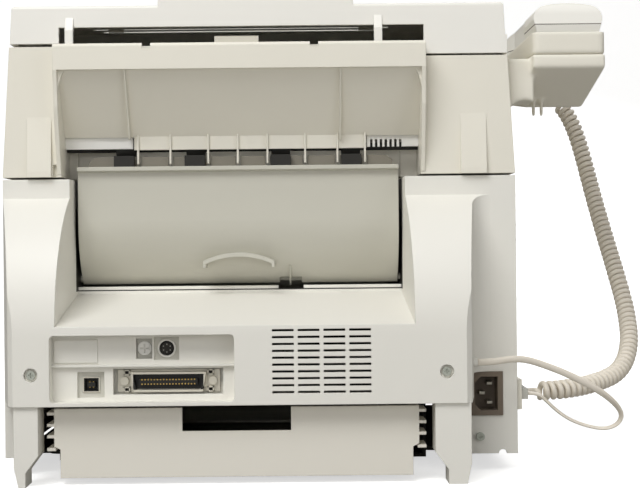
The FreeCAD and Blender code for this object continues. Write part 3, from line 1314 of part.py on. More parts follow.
parallel_shell = pad("parallel_shell", "XZ", [
    (parallel_x - 24, parallel_z - 7.5),
    (parallel_x + 24, parallel_z - 7.5),
    (parallel_x + 26.5, parallel_z + 6.5),
    (parallel_x - 26.5, parallel_z + 6.5),
], plate_y, recess_y - 0.5)
parallel_mouth = pad("parallel_mouth", "XZ", [
    (parallel_x - 22.5, parallel_z - 6),
    (parallel_x + 22.5, parallel_z - 6),
    (parallel_x + 24.8, parallel_z + 5),
    (parallel_x - 24.8, parallel_z + 5),
], plate_y + 2, recess_y + 1)
parallel_tongue = box("parallel_tongue", parallel_x - 20.5, parallel_x + 20.5, plate_y, recess_y - 1,
                      parallel_z - 2.4, parallel_z + 1.6)
parallel_studs = []
for side in (-1, 1):
    parallel_studs.append(rod(f"parallel_stud_{side + 1}", "Y",
                              (parallel_x + side * 31, plate_y, parallel_z), size_of(4.5), size_of(3)))
node("parallel_socket", fuse("parallel_socket",
                             cut("parallel_case", fuse("parallel_blank", parallel_flange, parallel_shell),
                                 parallel_mouth), parallel_tongue, *parallel_studs))
din_ring = rod("din_ring", "Y", (din_x, plate_y, din_z), size_of(7), size_of(6.6))
din_bore = rod("din_bore", "Y", (din_x, plate_y + 1.5, din_z), size_of(8), size_of(5.2))
din_core = rod("din_core", "Y", (din_x, plate_y, din_z), size_of(5.5), size_of(4.4))
node("round_socket", fuse("round_socket", cut("din_case", din_ring, din_bore), din_core))
ground_head = rod("ground_head", "Y", (ground_x, plate_y, din_z), size_of(5), size_of(5))
ground_cross = fuse("ground_cross",
                    box("ground_slot_a", ground_x - 3, ground_x + 3, plate_y + 4, plate_y + 6, din_z - 0.5,
                        din_z + 0.5),
                    box("ground_slot_b", ground_x - 0.5, ground_x + 0.5, plate_y + 4, plate_y + 6,
                        din_z - 3, din_z + 3))
node("ground_screw", cut("ground_screw", ground_head, ground_cross))
inlet_case = box("inlet_case", inlet_x - 12.2, inlet_x + 12.2, d.band_y - 24, d.band_y + 1.5,
                 inlet_z - 16, inlet_z + 16)
inlet_mouth = pad("inlet_mouth", "XZ", [
    (inlet_x - 8.3, inlet_z - 12.2),
    (inlet_x + 4, inlet_z - 12.2),
    (inlet_x + 8.3, inlet_z - 7.9),
    (inlet_x + 8.3, inlet_z + 7.9),
    (inlet_x + 4, inlet_z + 12.2),
    (inlet_x - 8.3, inlet_z + 12.2),
], d.band_y - 15, d.band_y + 3)
inlet_pins = []
for number, (dx, dz) in enumerate(((-3.0, -7.0), (2.5, 0.0), (-3.0, 7.0))):
    inlet_pins.append(box(f"inlet_pin_{number}", inlet_x + dx - 2, inlet_x + dx + 2, d.band_y - 16,
                          d.band_y - 3, inlet_z + dz - 1, inlet_z + dz + 1))
node("power_inlet", fuse("power_inlet", cut("inlet_shell", inlet_case, inlet_mouth), *inlet_pins))
jack_case = box("jack_case", d.left_x - 4, d.left_x + 10, jack_y - 16.5, jack_y + 16.5, jack_z - 11,
                jack_z + 11)
coil_jack_y = jack_y - 8
lead_jack_y = jack_y + 8
jack_mouths = []
for number, y in enumerate((coil_jack_y, lead_jack_y)):
    jack_mouths.append(box(f"jack_mouth_{number}", d.left_x - 5, d.left_x + 8, y - 5.2, y + 5.2,
                           jack_z - 4.2, jack_z + 4.2))
node("jack_block", cut("jack_block", jack_case, *jack_mouths))
plugs = []
for number, y in enumerate((coil_jack_y, lead_jack_y)):
    plugs.append(box(f"plug_{number}", d.left_x - 9, d.left_x + 7.5, y - 4.9, y + 4.9, jack_z - 3.9,
                     jack_z + 3.9))
node("modular_plugs", group("modular_plugs", *plugs))
heads = []
for name, x, y, z in (("right", screw_right_x, d.rear_y - 3, d.screw_z),
                      ("left", screw_left_x, d.rear_y - 3, d.screw_z),
                      ("side", side_screw_x, d.band_y, size_of(25))):
    head = rod(f"screw_head_{name}", "Y", (x, y, z), size_of(2), d.screw_head / 2)
    shank = rod(f"screw_shank_{name}", "Y", (x, y - 6, z), size_of(6.5), size_of(1.6))
    cross = fuse(f"screw_cross_{name}",
                 box(f"screw_slot_a_{name}", x - 1.8, x + 1.8, y + 1, y + 3, z - 0.4, z + 0.4),
                 box(f"screw_slot_b_{name}", x - 0.4, x + 0.4, y + 1, y + 3, z - 1.8, z + 1.8))
    heads.append(cut(f"screw_{name}", fuse(f"screw_blank_{name}", head, shank), cross))
node("cover_screws", group("cover_screws", *heads))

# Handset cradle at the left side and the handset that lies in it, ear end to the rear.
cradle_outer_x = d.left_x - d.cradle_reach
cradle_inner_x = cradle_outer_x + d.cradle_width
cradle_x = cradle_outer_x + d.cradle_width / 2
cradle_lower = common(
    "cradle_lower",
    pad("cradle_side", "YZ", [
        (d.cradle_front_y + 18, d.cradle_low_z + d.cradle_front_rise),
        (d.cradle_rear_y - 46, d.cradle_low_z),
        (d.cradle_rear_y, d.cradle_slope_z),
        (d.cradle_rear_y, d.cradle_seam_z),
        (d.cradle_front_y, d.cradle_seam_z),
        (d.cradle_front_y, d.cradle_slope_z),
    ], cradle_outer_x - 1, d.left_x + d.upper_draft + 8),
    pad("cradle_cross", "XZ", [
        (cradle_outer_x + 9, d.cradle_low_z),
        (cradle_inner_x, d.cradle_low_z),
        (cradle_inner_x, d.cradle_seam_z),
        (cradle_outer_x, d.cradle_seam_z),
        (cradle_outer_x, d.cradle_slope_z),
    ], d.cradle_front_y - 1, d.cradle_rear_y + 1))
# The arm stands against the upper housing's slanting side.
arm_low_z = d.cradle_low_z - 6
draft_share = d.upper_draft / (d.upper_top_z - d.upper_low_z)
arm_low_x = d.left_x + draft_share * (arm_low_z - d.upper_low_z)
arm_top_x = d.left_x + draft_share * (d.cradle_seam_z - 2 - d.upper_low_z)
cradle_arm = pad("cradle_arm", "XZ", [
    (cradle_inner_x - 2, d.cradle_low_z, size_of(-14)),
    (arm_low_x, arm_low_z),
    (arm_top_x, d.cradle_seam_z - 2),
    (cradle_inner_x - 2, d.cradle_seam_z - 2),
], d.cradle_rear_y - 8 - d.cradle_arm_length, d.cradle_rear_y - 8)
clip_prongs = []
for offset in (6, 12):
    clip_x = cradle_inner_x - offset
    clip_prongs.append(box(f"clip_prong_{offset}", clip_x - 1, clip_x + 1.4, d.cradle_rear_y - 40,
                           d.cradle_rear_y - 34, d.cradle_low_z - 8, d.cradle_low_z + 9))
hook_y = d.cradle_rear_y - 34
hook_bore = box("hook_bore", cradle_x - 4.4, cradle_x + 4.4, hook_y - 6.4, hook_y + 6.4,
                d.cradle_seam_z - 14, d.cradle_rim_z)
node("cradle_base", cut("cradle_base", fuse("cradle_solid", cradle_lower, cradle_arm, *clip_prongs),
                        hook_bore))
cup_length = size_of(62.5)
cups = [
    box("rear_cup", cradle_x - d.cup_width / 2, cradle_x + d.cup_width / 2,
        d.cradle_rear_y - 2.4 - cup_length, d.cradle_rear_y - 2.4, d.cup_floor_z, d.cradle_rim_z + 1),
    box("front_cup", cradle_x - d.cup_width / 2, cradle_x + d.cup_width / 2, d.cradle_front_y + 2.4,
        d.cradle_front_y + 2.4 + cup_length, d.cup_floor_z, d.cradle_rim_z + 1),
    box("cord_notch", cradle_x - 8, cradle_x + 8, d.cradle_front_y - 1, d.cradle_front_y + 10,
        d.cup_floor_z + 2, d.cradle_rim_z + 1),
]
rests = []
for number, y in enumerate((d.cradle_rear_y - 16, d.cradle_rear_y - 46, d.cradle_front_y + 18,
                            d.cradle_front_y + 46)):
    rests.append(box(f"cup_rest_{number}", cradle_x - 16, cradle_x + 16, y - 1.5, y + 1.5,
                     d.cup_floor_z - 0.5, d.handset_low_z - 0.2))
rim = pad("cradle_rim", "XY", [
    (cradle_outer_x, d.cradle_front_y),
    (cradle_inner_x, d.cradle_front_y),
    (cradle_inner_x, d.cradle_rear_y),
    (cradle_outer_x, d.cradle_rear_y),
], d.cradle_seam_z, d.cradle_rim_z)
rounded(rim, size_of(5), runs("z"))
hook_bore_top = box("hook_bore_top", cradle_x - 4.4, cradle_x + 4.4, hook_y - 6.4, hook_y + 6.4,
                    d.cradle_seam_z - 1, d.cradle_rim_z)
node("cradle_cup", fuse("cradle_cup", cut("cradle_hollowed", rim, *cups, hook_bore_top), *rests))
hook_cap = pad("hook_cap", "YZ", [
    (hook_y - 6, d.cradle_seam_z - 9),
    (hook_y + 6, d.cradle_seam_z - 9),
    (hook_y + 6, d.handset_low_z - 1.4),
    (hook_y + 4, d.handset_low_z - 0.4),
    (hook_y - 4, d.handset_low_z - 0.4),
    (hook_y - 6, d.handset_low_z - 1.4),
], cradle_x - 4, cradle_x + 4)
node("hook_switch", hook_cap)

handset_rear_y = d.cradle_rear_y - d.cradle_end_wall
handset_front_y = handset_rear_y - d.handset_length
head_length = size_of(47)
handset_side = pad("handset_side", "YZ", [
    (handset_front_y, d.handset_low_z),
    (handset_front_y + head_length, d.handset_low_z),
    (handset_front_y + head_length + 16, d.handle_low_z),
    (handset_rear_y - head_length - 16, d.handle_low_z),
    (handset_rear_y - head_length, d.handset_low_z),
    (handset_rear_y - 4, d.handset_low_z),
    (handset_rear_y, d.handset_split_z),
    (handset_rear_y - 1, d.handset_split_z + 8, size_of(11)),
    (handset_rear_y - 12, d.handset_top_z, d.handset_length * 3),
    (handset_front_y + 12, d.handset_top_z, size_of(11)),
    (handset_front_y + 1, d.handset_split_z + 8),
    (handset_front_y, d.handset_split_z),
], cradle_x - d.handset_width, cradle_x + d.handset_width)
handset_plan = pad("handset_plan", "XY", [
    (cradle_x - d.handset_width / 2, handset_front_y - 2),
    (cradle_x + d.handset_width / 2, handset_front_y - 2),
    (cradle_x + d.handset_width / 2, handset_front_y + head_length),
    (cradle_x + d.handle_width / 2, handset_front_y + head_length + 26),
    (cradle_x + d.handle_width / 2, handset_rear_y - head_length - 26),
    (cradle_x + d.handset_width / 2, handset_rear_y - head_length),
    (cradle_x + d.handset_width / 2, handset_rear_y + 2),
    (cradle_x - d.handset_width / 2, handset_rear_y + 2),
    (cradle_x - d.handset_width / 2, handset_rear_y - head_length),
    (cradle_x - d.handle_width / 2, handset_rear_y - head_length - 26),
    (cradle_x - d.handle_width / 2, handset_front_y + head_length + 26),
    (cradle_x - d.handset_width / 2, handset_front_y + head_length),
], d.handset_low_z - 5, d.handset_top_z + 20)
handset_cross = pad("handset_cross", "XZ", [
    (cradle_x - 19, d.handset_low_z - 1),
    (cradle_x + 19, d.handset_low_z - 1),
    (cradle_x + 23, d.cradle_rim_z),
    (cradle_x + d.handset_width / 2, d.handset_split_z + 4, size_of(11)),
    (cradle_x + d.handset_width / 2 - 8.5, d.handset_top_z - 3, size_of(70)),
    (cradle_x - d.handset_width / 2 + 8.5, d.handset_top_z - 3, size_of(11)),
    (cradle_x - d.handset_width / 2, d.handset_split_z + 4),
    (cradle_x - 23, d.cradle_rim_z),
], handset_front_y - 3, handset_rear_y + 3)
handset_form = common("handset_form", handset_side, handset_plan, handset_cross)
above = box("above_split", cradle_x - 60, cradle_x + 60, handset_front_y - 20, handset_rear_y + 20,
            d.handset_split_z, d.handset_top_z + 40)
below = box("below_split", cradle_x - 60, cradle_x + 60, handset_front_y - 20, handset_rear_y + 20,
            d.handset_low_z - 20, d.handset_split_z)
node("handset_back", common("handset_back", handset_form, above))
node("handset_face", common("handset_face", handset_form, below))


# Cords: routes of straight runs joined by tangent arcs.
def route_wire(points):
    """A wire through the points with the largest even arcs at its corners; prints the radii."""
    edges = []
    radii = []
    last = points[0]
    for i in range(1, len(points) - 1):
        back = points[i - 1] - points[i]
        ahead = points[i + 1] - points[i]
        turn = math.pi - back.getAngle(ahead)
        reach = 0.45 * min(back.Length, ahead.Length)
        radius = reach / math.tan(turn / 2)
        radii.append(round(radius, 1))
        start = points[i] + back.normalize() * reach
        end = points[i] + ahead.normalize() * reach
        bisector = (back + ahead).normalize()
        centre = points[i] + bisector * (radius / math.cos(turn / 2))
        middle = centre - bisector * radius
        edges.append(Part.LineSegment(last, start).toShape())
        edges.append(Part.Arc(start, middle, end).toShape())
        last = end
    edges.append(Part.LineSegment(last, points[-1]).toShape())
    print("radii", radii)
    return Part.Wire(edges)


def sweep(wire, heading, ring):
    """A closed section carried along a wire."""
    shell = Part.BRepOffsetAPI.MakePipeShell(wire)
    shell.add(ring)
    shell.build()
    shell.makeSolid()
    return shell.shape()


def tube(points, diameter):
    """A round tube along a route."""
    wire = route_wire(points)
    heading = points[1] - points[0]
    ring = Part.Wire([Part.Circle(points[0], heading, diameter / 2).toShape()])
    solid = sweep(wire, heading, ring)
    section = math.pi * diameter * diameter / 4
    print("length", round(wire.Length, 1), "volume share", round(solid.Volume / section / wire.Length, 4))
    return solid


class Curl:
    """A line that winds round a route at a steady pitch, and eases in and out at its two tails."""

    def __init__(self, wire, radius, pitch, first_tail, last_tail, ease):
        self.radius = radius
        self.rate = 2 * math.pi / pitch
        self.ease = ease
        self.length = wire.Length
        self.marks = (first_tail, first_tail + ease, self.length - last_tail - ease,
                      self.length - last_tail)
        self.spots = wire.discretize(Number=int(self.length / 0.5) + 1)
        self.step = self.length / (len(self.spots) - 1)
        last = len(self.spots) - 1
        self.ways = []
        for i in range(last + 1):
            self.ways.append((self.spots[min(i + 1, last)] - self.spots[max(i - 1, 0)]).normalize())
        side = V(0, 0, 1).cross(self.ways[0]).normalize()
        self.sides = []
        for way in self.ways:
            side = (side - way * side.dot(way)).normalize()
            self.sides.append(side)
        self.ease_turn = self.rate * ease / 4
        self.whole_turn = 2 * self.ease_turn + self.rate * (self.marks[2] - self.marks[1])

    def polar(self, way):
        """The distance from the route and the angle about it."""
        a, b, c, e = self.marks
        if b <= way <= c:
            return self.radius, self.ease_turn + self.rate * (way - b)
        share = min(max((way - a if way < b else e - way) / self.ease, 0), 1)
        turn = self.ease_turn * share ** 4
        return (self.radius * share * share * (3 - 2 * share),
                turn if way < b else self.whole_turn - turn)

    def at(self, way):
        place = min(max(way / self.step, 0), len(self.spots) - 1.001)
        i = int(place)
        share = place - i
        spot = self.spots[i] * (1 - share) + self.spots[i + 1] * share
        heading = (self.ways[i] * (1 - share) + self.ways[i + 1] * share).normalize()
        side = self.sides[i] * (1 - share) + self.sides[i + 1] * share
        side = (side - heading * side.dot(heading)).normalize()
        distance, angle = self.polar(way)
        return spot + side * (distance * math.cos(angle)) + heading.cross(side) * (distance * math.sin(angle))

    def heading(self, way):
        low, high = max(way - 0.02, 0), min(way + 0.02, self.length)
        return (self.at(high) - self.at(low)).normalize()

    def stations(self):
        """Places along the route: the tails, the eased ends and every half turn between."""
        a, b, c, e = self.marks
        halves = round(self.rate * (c - b) / math.pi)
        counts = ((0, a, max(1, int(a / 12))), (a, b, 4), (b, c, halves), (c, e, 4), (e, self.length, 1))
        ways = [0.0]
        for low, high, count in counts:
            ways += [low + (high - low) * (k + 1) / count for k in range(count)]
        return ways


def tangent_arc(start, heading, end):
    """The arc from start, leaving along a heading, to end; its radius comes with it."""
    along = end - start
    half = along.Length / 2
    along.normalize()
    angle = heading.getAngle(along)
    if angle < 1e-4:
        return Part.LineSegment(start, end).toShape(), math.inf
    side = (heading - along * heading.dot(along)).normalize()
    middle = (start + end) / 2 + side * (half * math.tan(angle / 2))
    return Part.Arc(start, middle, end).toShape(), half / math.sin(angle)


def biarc_wire(spots, headings):
    """A smooth wire of two arcs between each pair of neighbouring spots; prints the least radius."""
    edges = []
    radii = []
    for start, end, leave, arrive in zip(spots, spots[1:], headings, headings[1:]):
        span = end - start
        both = leave + arrive
        bend = 2 * (1 - leave.dot(arrive))
        if bend < 1e-9:
            reach = span.dot(span) / (4 * span.dot(arrive))
        else:
            reach = (math.sqrt(span.dot(both) ** 2 + bend * span.dot(span)) - span.dot(both)) / bend
        joint = (start + end + (leave - arrive) * reach) / 2
        chord = (joint - start).normalize()
        passing = chord * (2 * chord.dot(leave)) - leave
        for piece in (tangent_arc(start, leave, joint), tangent_arc(joint, passing, end)):
            edges.append(piece[0])
            radii.append(piece[1])
    print("least radius", round(min(radii), 2), "arcs", len(edges))
    return Part.Wire(edges)


def least_gap(wire, diameter):
    """The least distance between two turns of a wound tube, measured on points along it."""
    step = 0.6
    spots = wire.discretize(Distance=step)
    cells = {}
    for i, p in enumerate(spots):
        cells.setdefault((int(p.x // 8), int(p.y // 8), int(p.z // 8)), []).append(i)
    apart = int(2.2 * diameter / step)
    least = math.inf
    for (x, y, z), inside in cells.items():
        near = [j for dx in (-1, 0, 1) for dy in (-1, 0, 1) for dz in (-1, 0, 1)
                for j in cells.get((x + dx, y + dy, z + dz), [])]
        for i in inside:
            for j in near:
                if j - i > apart:
                    least = min(least, (spots[i] - spots[j]).Length)
    return least - diameter


def curly(points, diameter, outer, pitch, first_tail, last_tail, ease, sides):
    """A wound cord along a route, one unbroken tube of a many-sided section."""
    curl = Curl(route_wire(points), (outer - diameter) / 2, pitch, first_tail, last_tail, ease)
    ways = curl.stations()
    spots = [curl.at(way) for way in ways]
    headings = [curl.heading(way) for way in ways]
    wire = biarc_wire(spots, headings)
    print("curls", round(curl.whole_turn / 2 / math.pi, 1), "route", round(curl.length, 1),
          "wound length", round(wire.Length, 1), "least gap", round(least_gap(wire, diameter), 2))
    across = curl.sides[0]
    upward = headings[0].cross(across)
    corners = []
    for k in range(sides + 1):
        angle = 2 * math.pi * k / sides
        corners.append(spots[0] + (across * math.cos(angle) + upward * math.sin(angle)) * (diameter / 2))
    solid = sweep(wire, headings[0], Part.makePolygon(corners))
    section = sides * math.sin(2 * math.pi / sides) * diameter * diameter / 8
    print("volume share", round(solid.Volume / section / wire.Length, 4))
    return solid


handset_end = V(cradle_x.value, handset_front_y.value, (d.handset_split_z.value + d.handset_low_z.value) / 2)
coil_end = V(d.left_x.value - 9, coil_jack_y.value, jack_z.value)
lead_end = V(d.left_x.value - 9, lead_jack_y.value, jack_z.value)
COIL_ROUTE = [
    handset_end,
    handset_end + V(0, -12, 0),
    handset_end + V(-9, -24, -5),
    handset_end + V(-24, -27, -15),
    handset_end + V(-38.15, -19.6, -30.25),
    handset_end + V(-46.65, -11.6, -50.25),
    handset_end + V(-52.15, -1.6, -76.25),
    handset_end + V(-56.65, 12.4, -106.25),
    coil_end + V(-93.5, -159, 123),
    coil_end + V(-98.5, -131, 86),
    coil_end + V(-101.5, -105, 54),
    coil_end + V(-97.5, -75, 27),
    coil_end + V(-83.5, -49, 9),
    coil_end + V(-59.5, -25, 3),
    coil_end + V(-33.5, -5, 0.5),
    coil_end + V(-14, 0, 0),
    coil_end,
]
LEAD_ROUTE = [
    V(d.column_left_x.value - 7, d.rear_y.value - 32, lead_z.value),
    V(d.column_left_x.value - 17, d.rear_y.value - 32, lead_z.value),
    lead_end + V(18.5, 38.5, 28.4),
    lead_end + V(5.5, 34, 27.8),
    lead_end + V(-8.5, 30, 23),
    lead_end + V(-23.5, 26.5, 17),
    lead_end + V(-40.5, 23, 8.5),
    lead_end + V(-54.5, 18, 0),
    lead_end + V(-64.5, 13, -9),
    lead_end + V(-68.5, 9, -17),
    lead_end + V(-64.5, 6, -24),
    lead_end + V(-55.5, 4, -26.7),
    lead_end + V(-43.5, 2, -24.5),
    lead_end + V(-31.5, 1, -20),
    lead_end + V(-21.5, 0.3, -13),
    lead_end + V(-13.5, 0, -5),
    lead_end + V(-7.5, 0, 0),
    lead_end,
]
CORDS = {
    "handset_cord": curly(COIL_ROUTE, d.coil_wire.value, d.coil_diameter.value, d.coil_pitch.value,
                          d.coil_tail.value, 8.0, 16.0, 6),
    "line_lead": tube(LEAD_ROUTE, d.lead_diameter.value),
}
for name, solid in CORDS.items():
    piece = doc.addObject("Part::Feature", name)
    piece.Shape = solid
    piece.Placement = FreeCAD.Placement()
    node(name, piece)

doc.recompute()
problems = []
for obj in doc.Objects:
    if "Invalid" in obj.State or "Error" in obj.State:
        problems.append(f"{obj.Label}: {obj.State}")
for name, obj in NODES.items():
    if obj.Shape.isNull() or not obj.Shape.isValid() or not obj.Shape.Solids:
        problems.append(f"{name}: no valid solid")
if problems:
    raise SystemExit("\n".join(problems))
for name, obj in NODES.items():
    obj.Shape.exportStep(f"parts/{name}.step")
print(len(NODES), "sub-parts written")
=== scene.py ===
# %% [markdown]
# # A laser fax machine, seen from behind
# The frame brings in the machine's solids. This lesson gives each of them a moulded, metal or
# rubber finish, hangs the curled handset cord and the line lead on smooth splines, adds the small
# fittings of the rear face, and lights the whole on a pale floor.

# %% Setup
import json
import math

import bmesh
import bpy
from mathutils import Matrix, Vector


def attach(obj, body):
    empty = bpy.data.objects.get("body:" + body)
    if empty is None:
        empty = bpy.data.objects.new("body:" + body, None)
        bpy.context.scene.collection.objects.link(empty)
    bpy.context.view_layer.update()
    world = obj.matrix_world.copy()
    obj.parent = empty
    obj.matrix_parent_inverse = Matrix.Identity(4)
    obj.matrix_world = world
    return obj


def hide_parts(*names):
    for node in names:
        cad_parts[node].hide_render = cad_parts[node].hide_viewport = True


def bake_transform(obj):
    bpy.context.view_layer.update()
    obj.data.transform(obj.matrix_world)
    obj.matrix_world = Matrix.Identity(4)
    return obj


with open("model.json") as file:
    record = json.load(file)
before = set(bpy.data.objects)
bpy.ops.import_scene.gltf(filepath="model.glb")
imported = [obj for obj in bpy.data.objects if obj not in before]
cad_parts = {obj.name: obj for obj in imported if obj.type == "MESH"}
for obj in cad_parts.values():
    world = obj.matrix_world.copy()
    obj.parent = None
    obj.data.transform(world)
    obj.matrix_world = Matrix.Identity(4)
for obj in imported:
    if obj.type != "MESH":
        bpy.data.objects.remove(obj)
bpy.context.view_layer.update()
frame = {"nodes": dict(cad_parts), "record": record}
scene = bpy.context.scene
nodes = frame["nodes"]
MM = 0.001
print(len(nodes), "solids in the frame")

# %% [markdown]
# Three helpers serve every step. One puts new data into the scene as an object. One lists the
# angles of a round form. One asks the frame where a solid lies, so that a fitting follows its solid.
# Its answer is rounded, because the facets of a round solid make its box a little lopsided.


# %% Helpers
def placed(name, data):
    """A new object in the scene for a mesh, a curve, a camera or a lamp."""
    made = bpy.data.objects.new(name, data)
    scene.collection.objects.link(made)
    return made


def round_turns(count):
    """Evenly spaced angles once round."""
    return [2 * math.pi * k / count for k in range(count)]


def middle_of(name):
    """The middle of a solid's box, in millimetres to the hundredth."""
    corners = [vertex.co / MM for vertex in nodes[name].data.vertices]
    return tuple(round((min(values) + max(values)) / 2, 2) for values in zip(*corners))


print("square socket at", middle_of("usb_socket"))

# %% [markdown]
# ## Camera
# The photograph looks level at the rear from about a metre away. A camera could be turned until the
# picture fits, but then upright edges would run together. This one stays level. The picture's middle
# lies a little left of the frame's middle, which the lens shift repeats, and it leans by half a degree.

# %% Camera
PHOTO_WIDTH, PHOTO_FOCUS, PHOTO_SHIFT = 640, 1449, 20
SENSOR_WIDTH = 36
CAMERA_PLACE = (0.0045, 1.210, 0.1663)
CAMERA_LEAN = math.radians(-0.57)

camera_data = bpy.data.cameras.new("rear_camera")
camera_data.sensor_width = SENSOR_WIDTH
camera_data.lens = SENSOR_WIDTH * PHOTO_FOCUS / PHOTO_WIDTH
camera_data.shift_x = PHOTO_SHIFT / PHOTO_WIDTH
camera = placed("rear_camera", camera_data)
camera.matrix_world = (Matrix.Translation(CAMERA_PLACE)
                       @ Matrix.Rotation(math.pi, 4, "Z")
                       @ Matrix.Rotation(math.pi / 2, 4, "X")
                       @ Matrix.Rotation(CAMERA_LEAN, 4, "Z"))
scene.camera = camera
scene.view_settings.view_transform = "Standard"
print("camera lens", round(camera_data.lens, 1), "mm")

# %% [markdown]
# ## Shared effects
# An effect that several materials use is a node group, built once. A node tree set socket by socket
# is long to read, so each helper here makes one node and feeds its sockets. The groups below then
# read like short formulas.


# %% Node helpers
def feed(tree, socket, value):
    """Links a socket to another node's output, or sets it to a plain value."""
    if isinstance(value, bpy.types.NodeSocket):
        tree.links.new(value, socket)
    else:
        socket.default_value = value


def add(tree, kind, **sockets):
    """A node whose named sockets are fed."""
    made = tree.nodes.new(kind)
    for label, value in sockets.items():
        feed(tree, made.inputs[label], value)
    return made


def arithmetic(tree, kind, operation, values):
    """A node of arithmetic whose first sockets are fed."""
    made = tree.nodes.new(kind)
    made.operation = operation
    for socket, value in zip(made.inputs, values):
        feed(tree, socket, value)
    return made


def math_node(tree, operation, *values):
    """The result of arithmetic on numbers."""
    return arithmetic(tree, "ShaderNodeMath", operation, values).outputs[0]


def vector_node(tree, operation, *values):
    """The outputs of arithmetic on vectors."""
    return arithmetic(tree, "ShaderNodeVectorMath", operation, values).outputs


def noise(tree, place, **sockets):
    """The grey value of a noise texture at a place."""
    return add(tree, "ShaderNodeTexNoise", Vector=place, **sockets).outputs["Fac"]


def own_place(tree):
    """The place on the piece, in its own coordinates."""
    return add(tree, "ShaderNodeTexCoord").outputs["Object"]


# %% [markdown]
# A Mix node has sockets of every kind under the same names, so its colour sockets are picked by
# number. A group's own sockets are made through its interface.

# %% Group helpers
MIX_SHARE, MIX_FIRST, MIX_SECOND, MIX_RESULT = 0, 6, 7, 2


def mix_colour(tree, share, first, second):
    """A blend of two colours by a share from nought to one."""
    made = tree.nodes.new("ShaderNodeMix")
    made.data_type = "RGBA"
    for index, value in ((MIX_SHARE, share), (MIX_FIRST, first), (MIX_SECOND, second)):
        feed(tree, made.inputs[index], value)
    return made.outputs[MIX_RESULT]


def new_group(name, inputs, outputs):
    """An empty group, what it is given, and its way out; inputs are (name, kind, default)."""
    group = bpy.data.node_groups.new(name, "ShaderNodeTree")
    for label, kind, value in inputs:
        group.interface.new_socket(label, in_out="INPUT", socket_type=kind).default_value = value
    for label, kind in outputs:
        group.interface.new_socket(label, in_out="OUTPUT", socket_type=kind)
    given = group.nodes.new("NodeGroupInput").outputs
    return group, given, group.nodes.new("NodeGroupOutput")


def hand_back(group, leave, **results):
    """The group itself, with its results linked to its outputs."""
    for label, result in results.items():
        group.links.new(result, leave.inputs[label])
    return group


# %% [markdown]
# The shell is moulded plastic with a fine grain, which a picture could give. Noise in the piece's own
# coordinates needs no unwrapping and never repeats. A slow noise ages the colour and sways the shine,
# a fine one is the grain, and dust lies on faces that look up.

# %% Moulded plastic
FINISH_OUT = [("Color", "NodeSocketColor"), ("Roughness", "NodeSocketFloat"),
              ("Height", "NodeSocketFloat")]
AGED, DUST = (0.52, 0.47, 0.36, 1), (0.70, 0.68, 0.62, 1)
SHINE_SWAY = 0.16


def moulded_group():
    """Plastic with a grain, a slow drift of tone, and dust on its upper faces."""
    group, given, leave = new_group("Moulded grain", [
        ("Color", "NodeSocketColor", (0.8, 0.8, 0.8, 1)),
        ("Roughness", "NodeSocketFloat", 0.5),
        ("Grain", "NodeSocketFloat", 1800.0),
        ("Drift", "NodeSocketFloat", 0.08),
        ("Dust", "NodeSocketFloat", 0.1),
    ], FINISH_OUT)
    place = own_place(group)
    slow = noise(group, place, Scale=9.0, Detail=3.0)
    fine = noise(group, place, Scale=given["Grain"], Detail=2.0, Roughness=0.6)
    shade = math_node(group, "MULTIPLY", slow, given["Drift"])
    aged = mix_colour(group, shade, given["Color"], AGED)
    normal = add(group, "ShaderNodeNewGeometry").outputs["Normal"]
    facing = add(group, "ShaderNodeSeparateXYZ", Vector=normal).outputs["Z"]
    upward = math_node(group, "MULTIPLY", math_node(group, "MAXIMUM", facing, 0.0), slow)
    dusty = mix_colour(group, math_node(group, "MULTIPLY", upward, given["Dust"]), aged, DUST)
    sway = math_node(group, "MULTIPLY", math_node(group, "SUBTRACT", slow, 0.5), SHINE_SWAY)
    rough = math_node(group, "ADD", given["Roughness"], sway)
    return hand_back(group, leave, Color=dusty, Roughness=rough, Height=fine)


MOULDED = moulded_group()
print(MOULDED.name, len(MOULDED.nodes), "nodes")

# %% [markdown]
# Socket shells, screws and metal rollers are drawn or turned, which leaves fine lines. A noise that is
# stretched along one axis draws such lines without a picture, and a second noise adds dull stains.

# %% Brushed metal
BRUSH_STRETCH = (25.0, 900.0, 900.0)
STAIN = (0.25, 0.24, 0.21, 1)
STAIN_SHARE, LINE_SHARE = 0.35, 0.2


def brushed_group():
    """Metal with fine lines and dull stains."""
    group, given, leave = new_group("Brushed metal", [
        ("Color", "NodeSocketColor", (0.6, 0.6, 0.58, 1)),
        ("Roughness", "NodeSocketFloat", 0.35),
    ], FINISH_OUT)
    place = own_place(group)
    stretched = add(group, "ShaderNodeMapping", Vector=place, Scale=BRUSH_STRETCH).outputs[0]
    lines = noise(group, stretched, Scale=1.0, Detail=3.0)
    stain = noise(group, place, Scale=40.0, Detail=4.0)
    shade = math_node(group, "MULTIPLY", stain, STAIN_SHARE)
    colour = mix_colour(group, shade, given["Color"], STAIN)
    rough = math_node(group, "ADD", given["Roughness"], math_node(group, "MULTIPLY", lines, LINE_SHARE))
    return hand_back(group, leave, Color=colour, Roughness=rough, Height=lines)


BRUSHED = brushed_group()
print(BRUSHED.name, len(BRUSHED.nodes), "nodes")

# %% [markdown]
# Rollers and feet are matt rubber. Voronoi cells are round enough for its stipple, where noise would
# look like sand. A soft noise lays the pale bloom of old rubber over it.

# %% Rubber
BLOOM = (0.30, 0.29, 0.26, 1)
BLOOM_SHARE, BLOOM_ROUGH = 0.12, 0.1


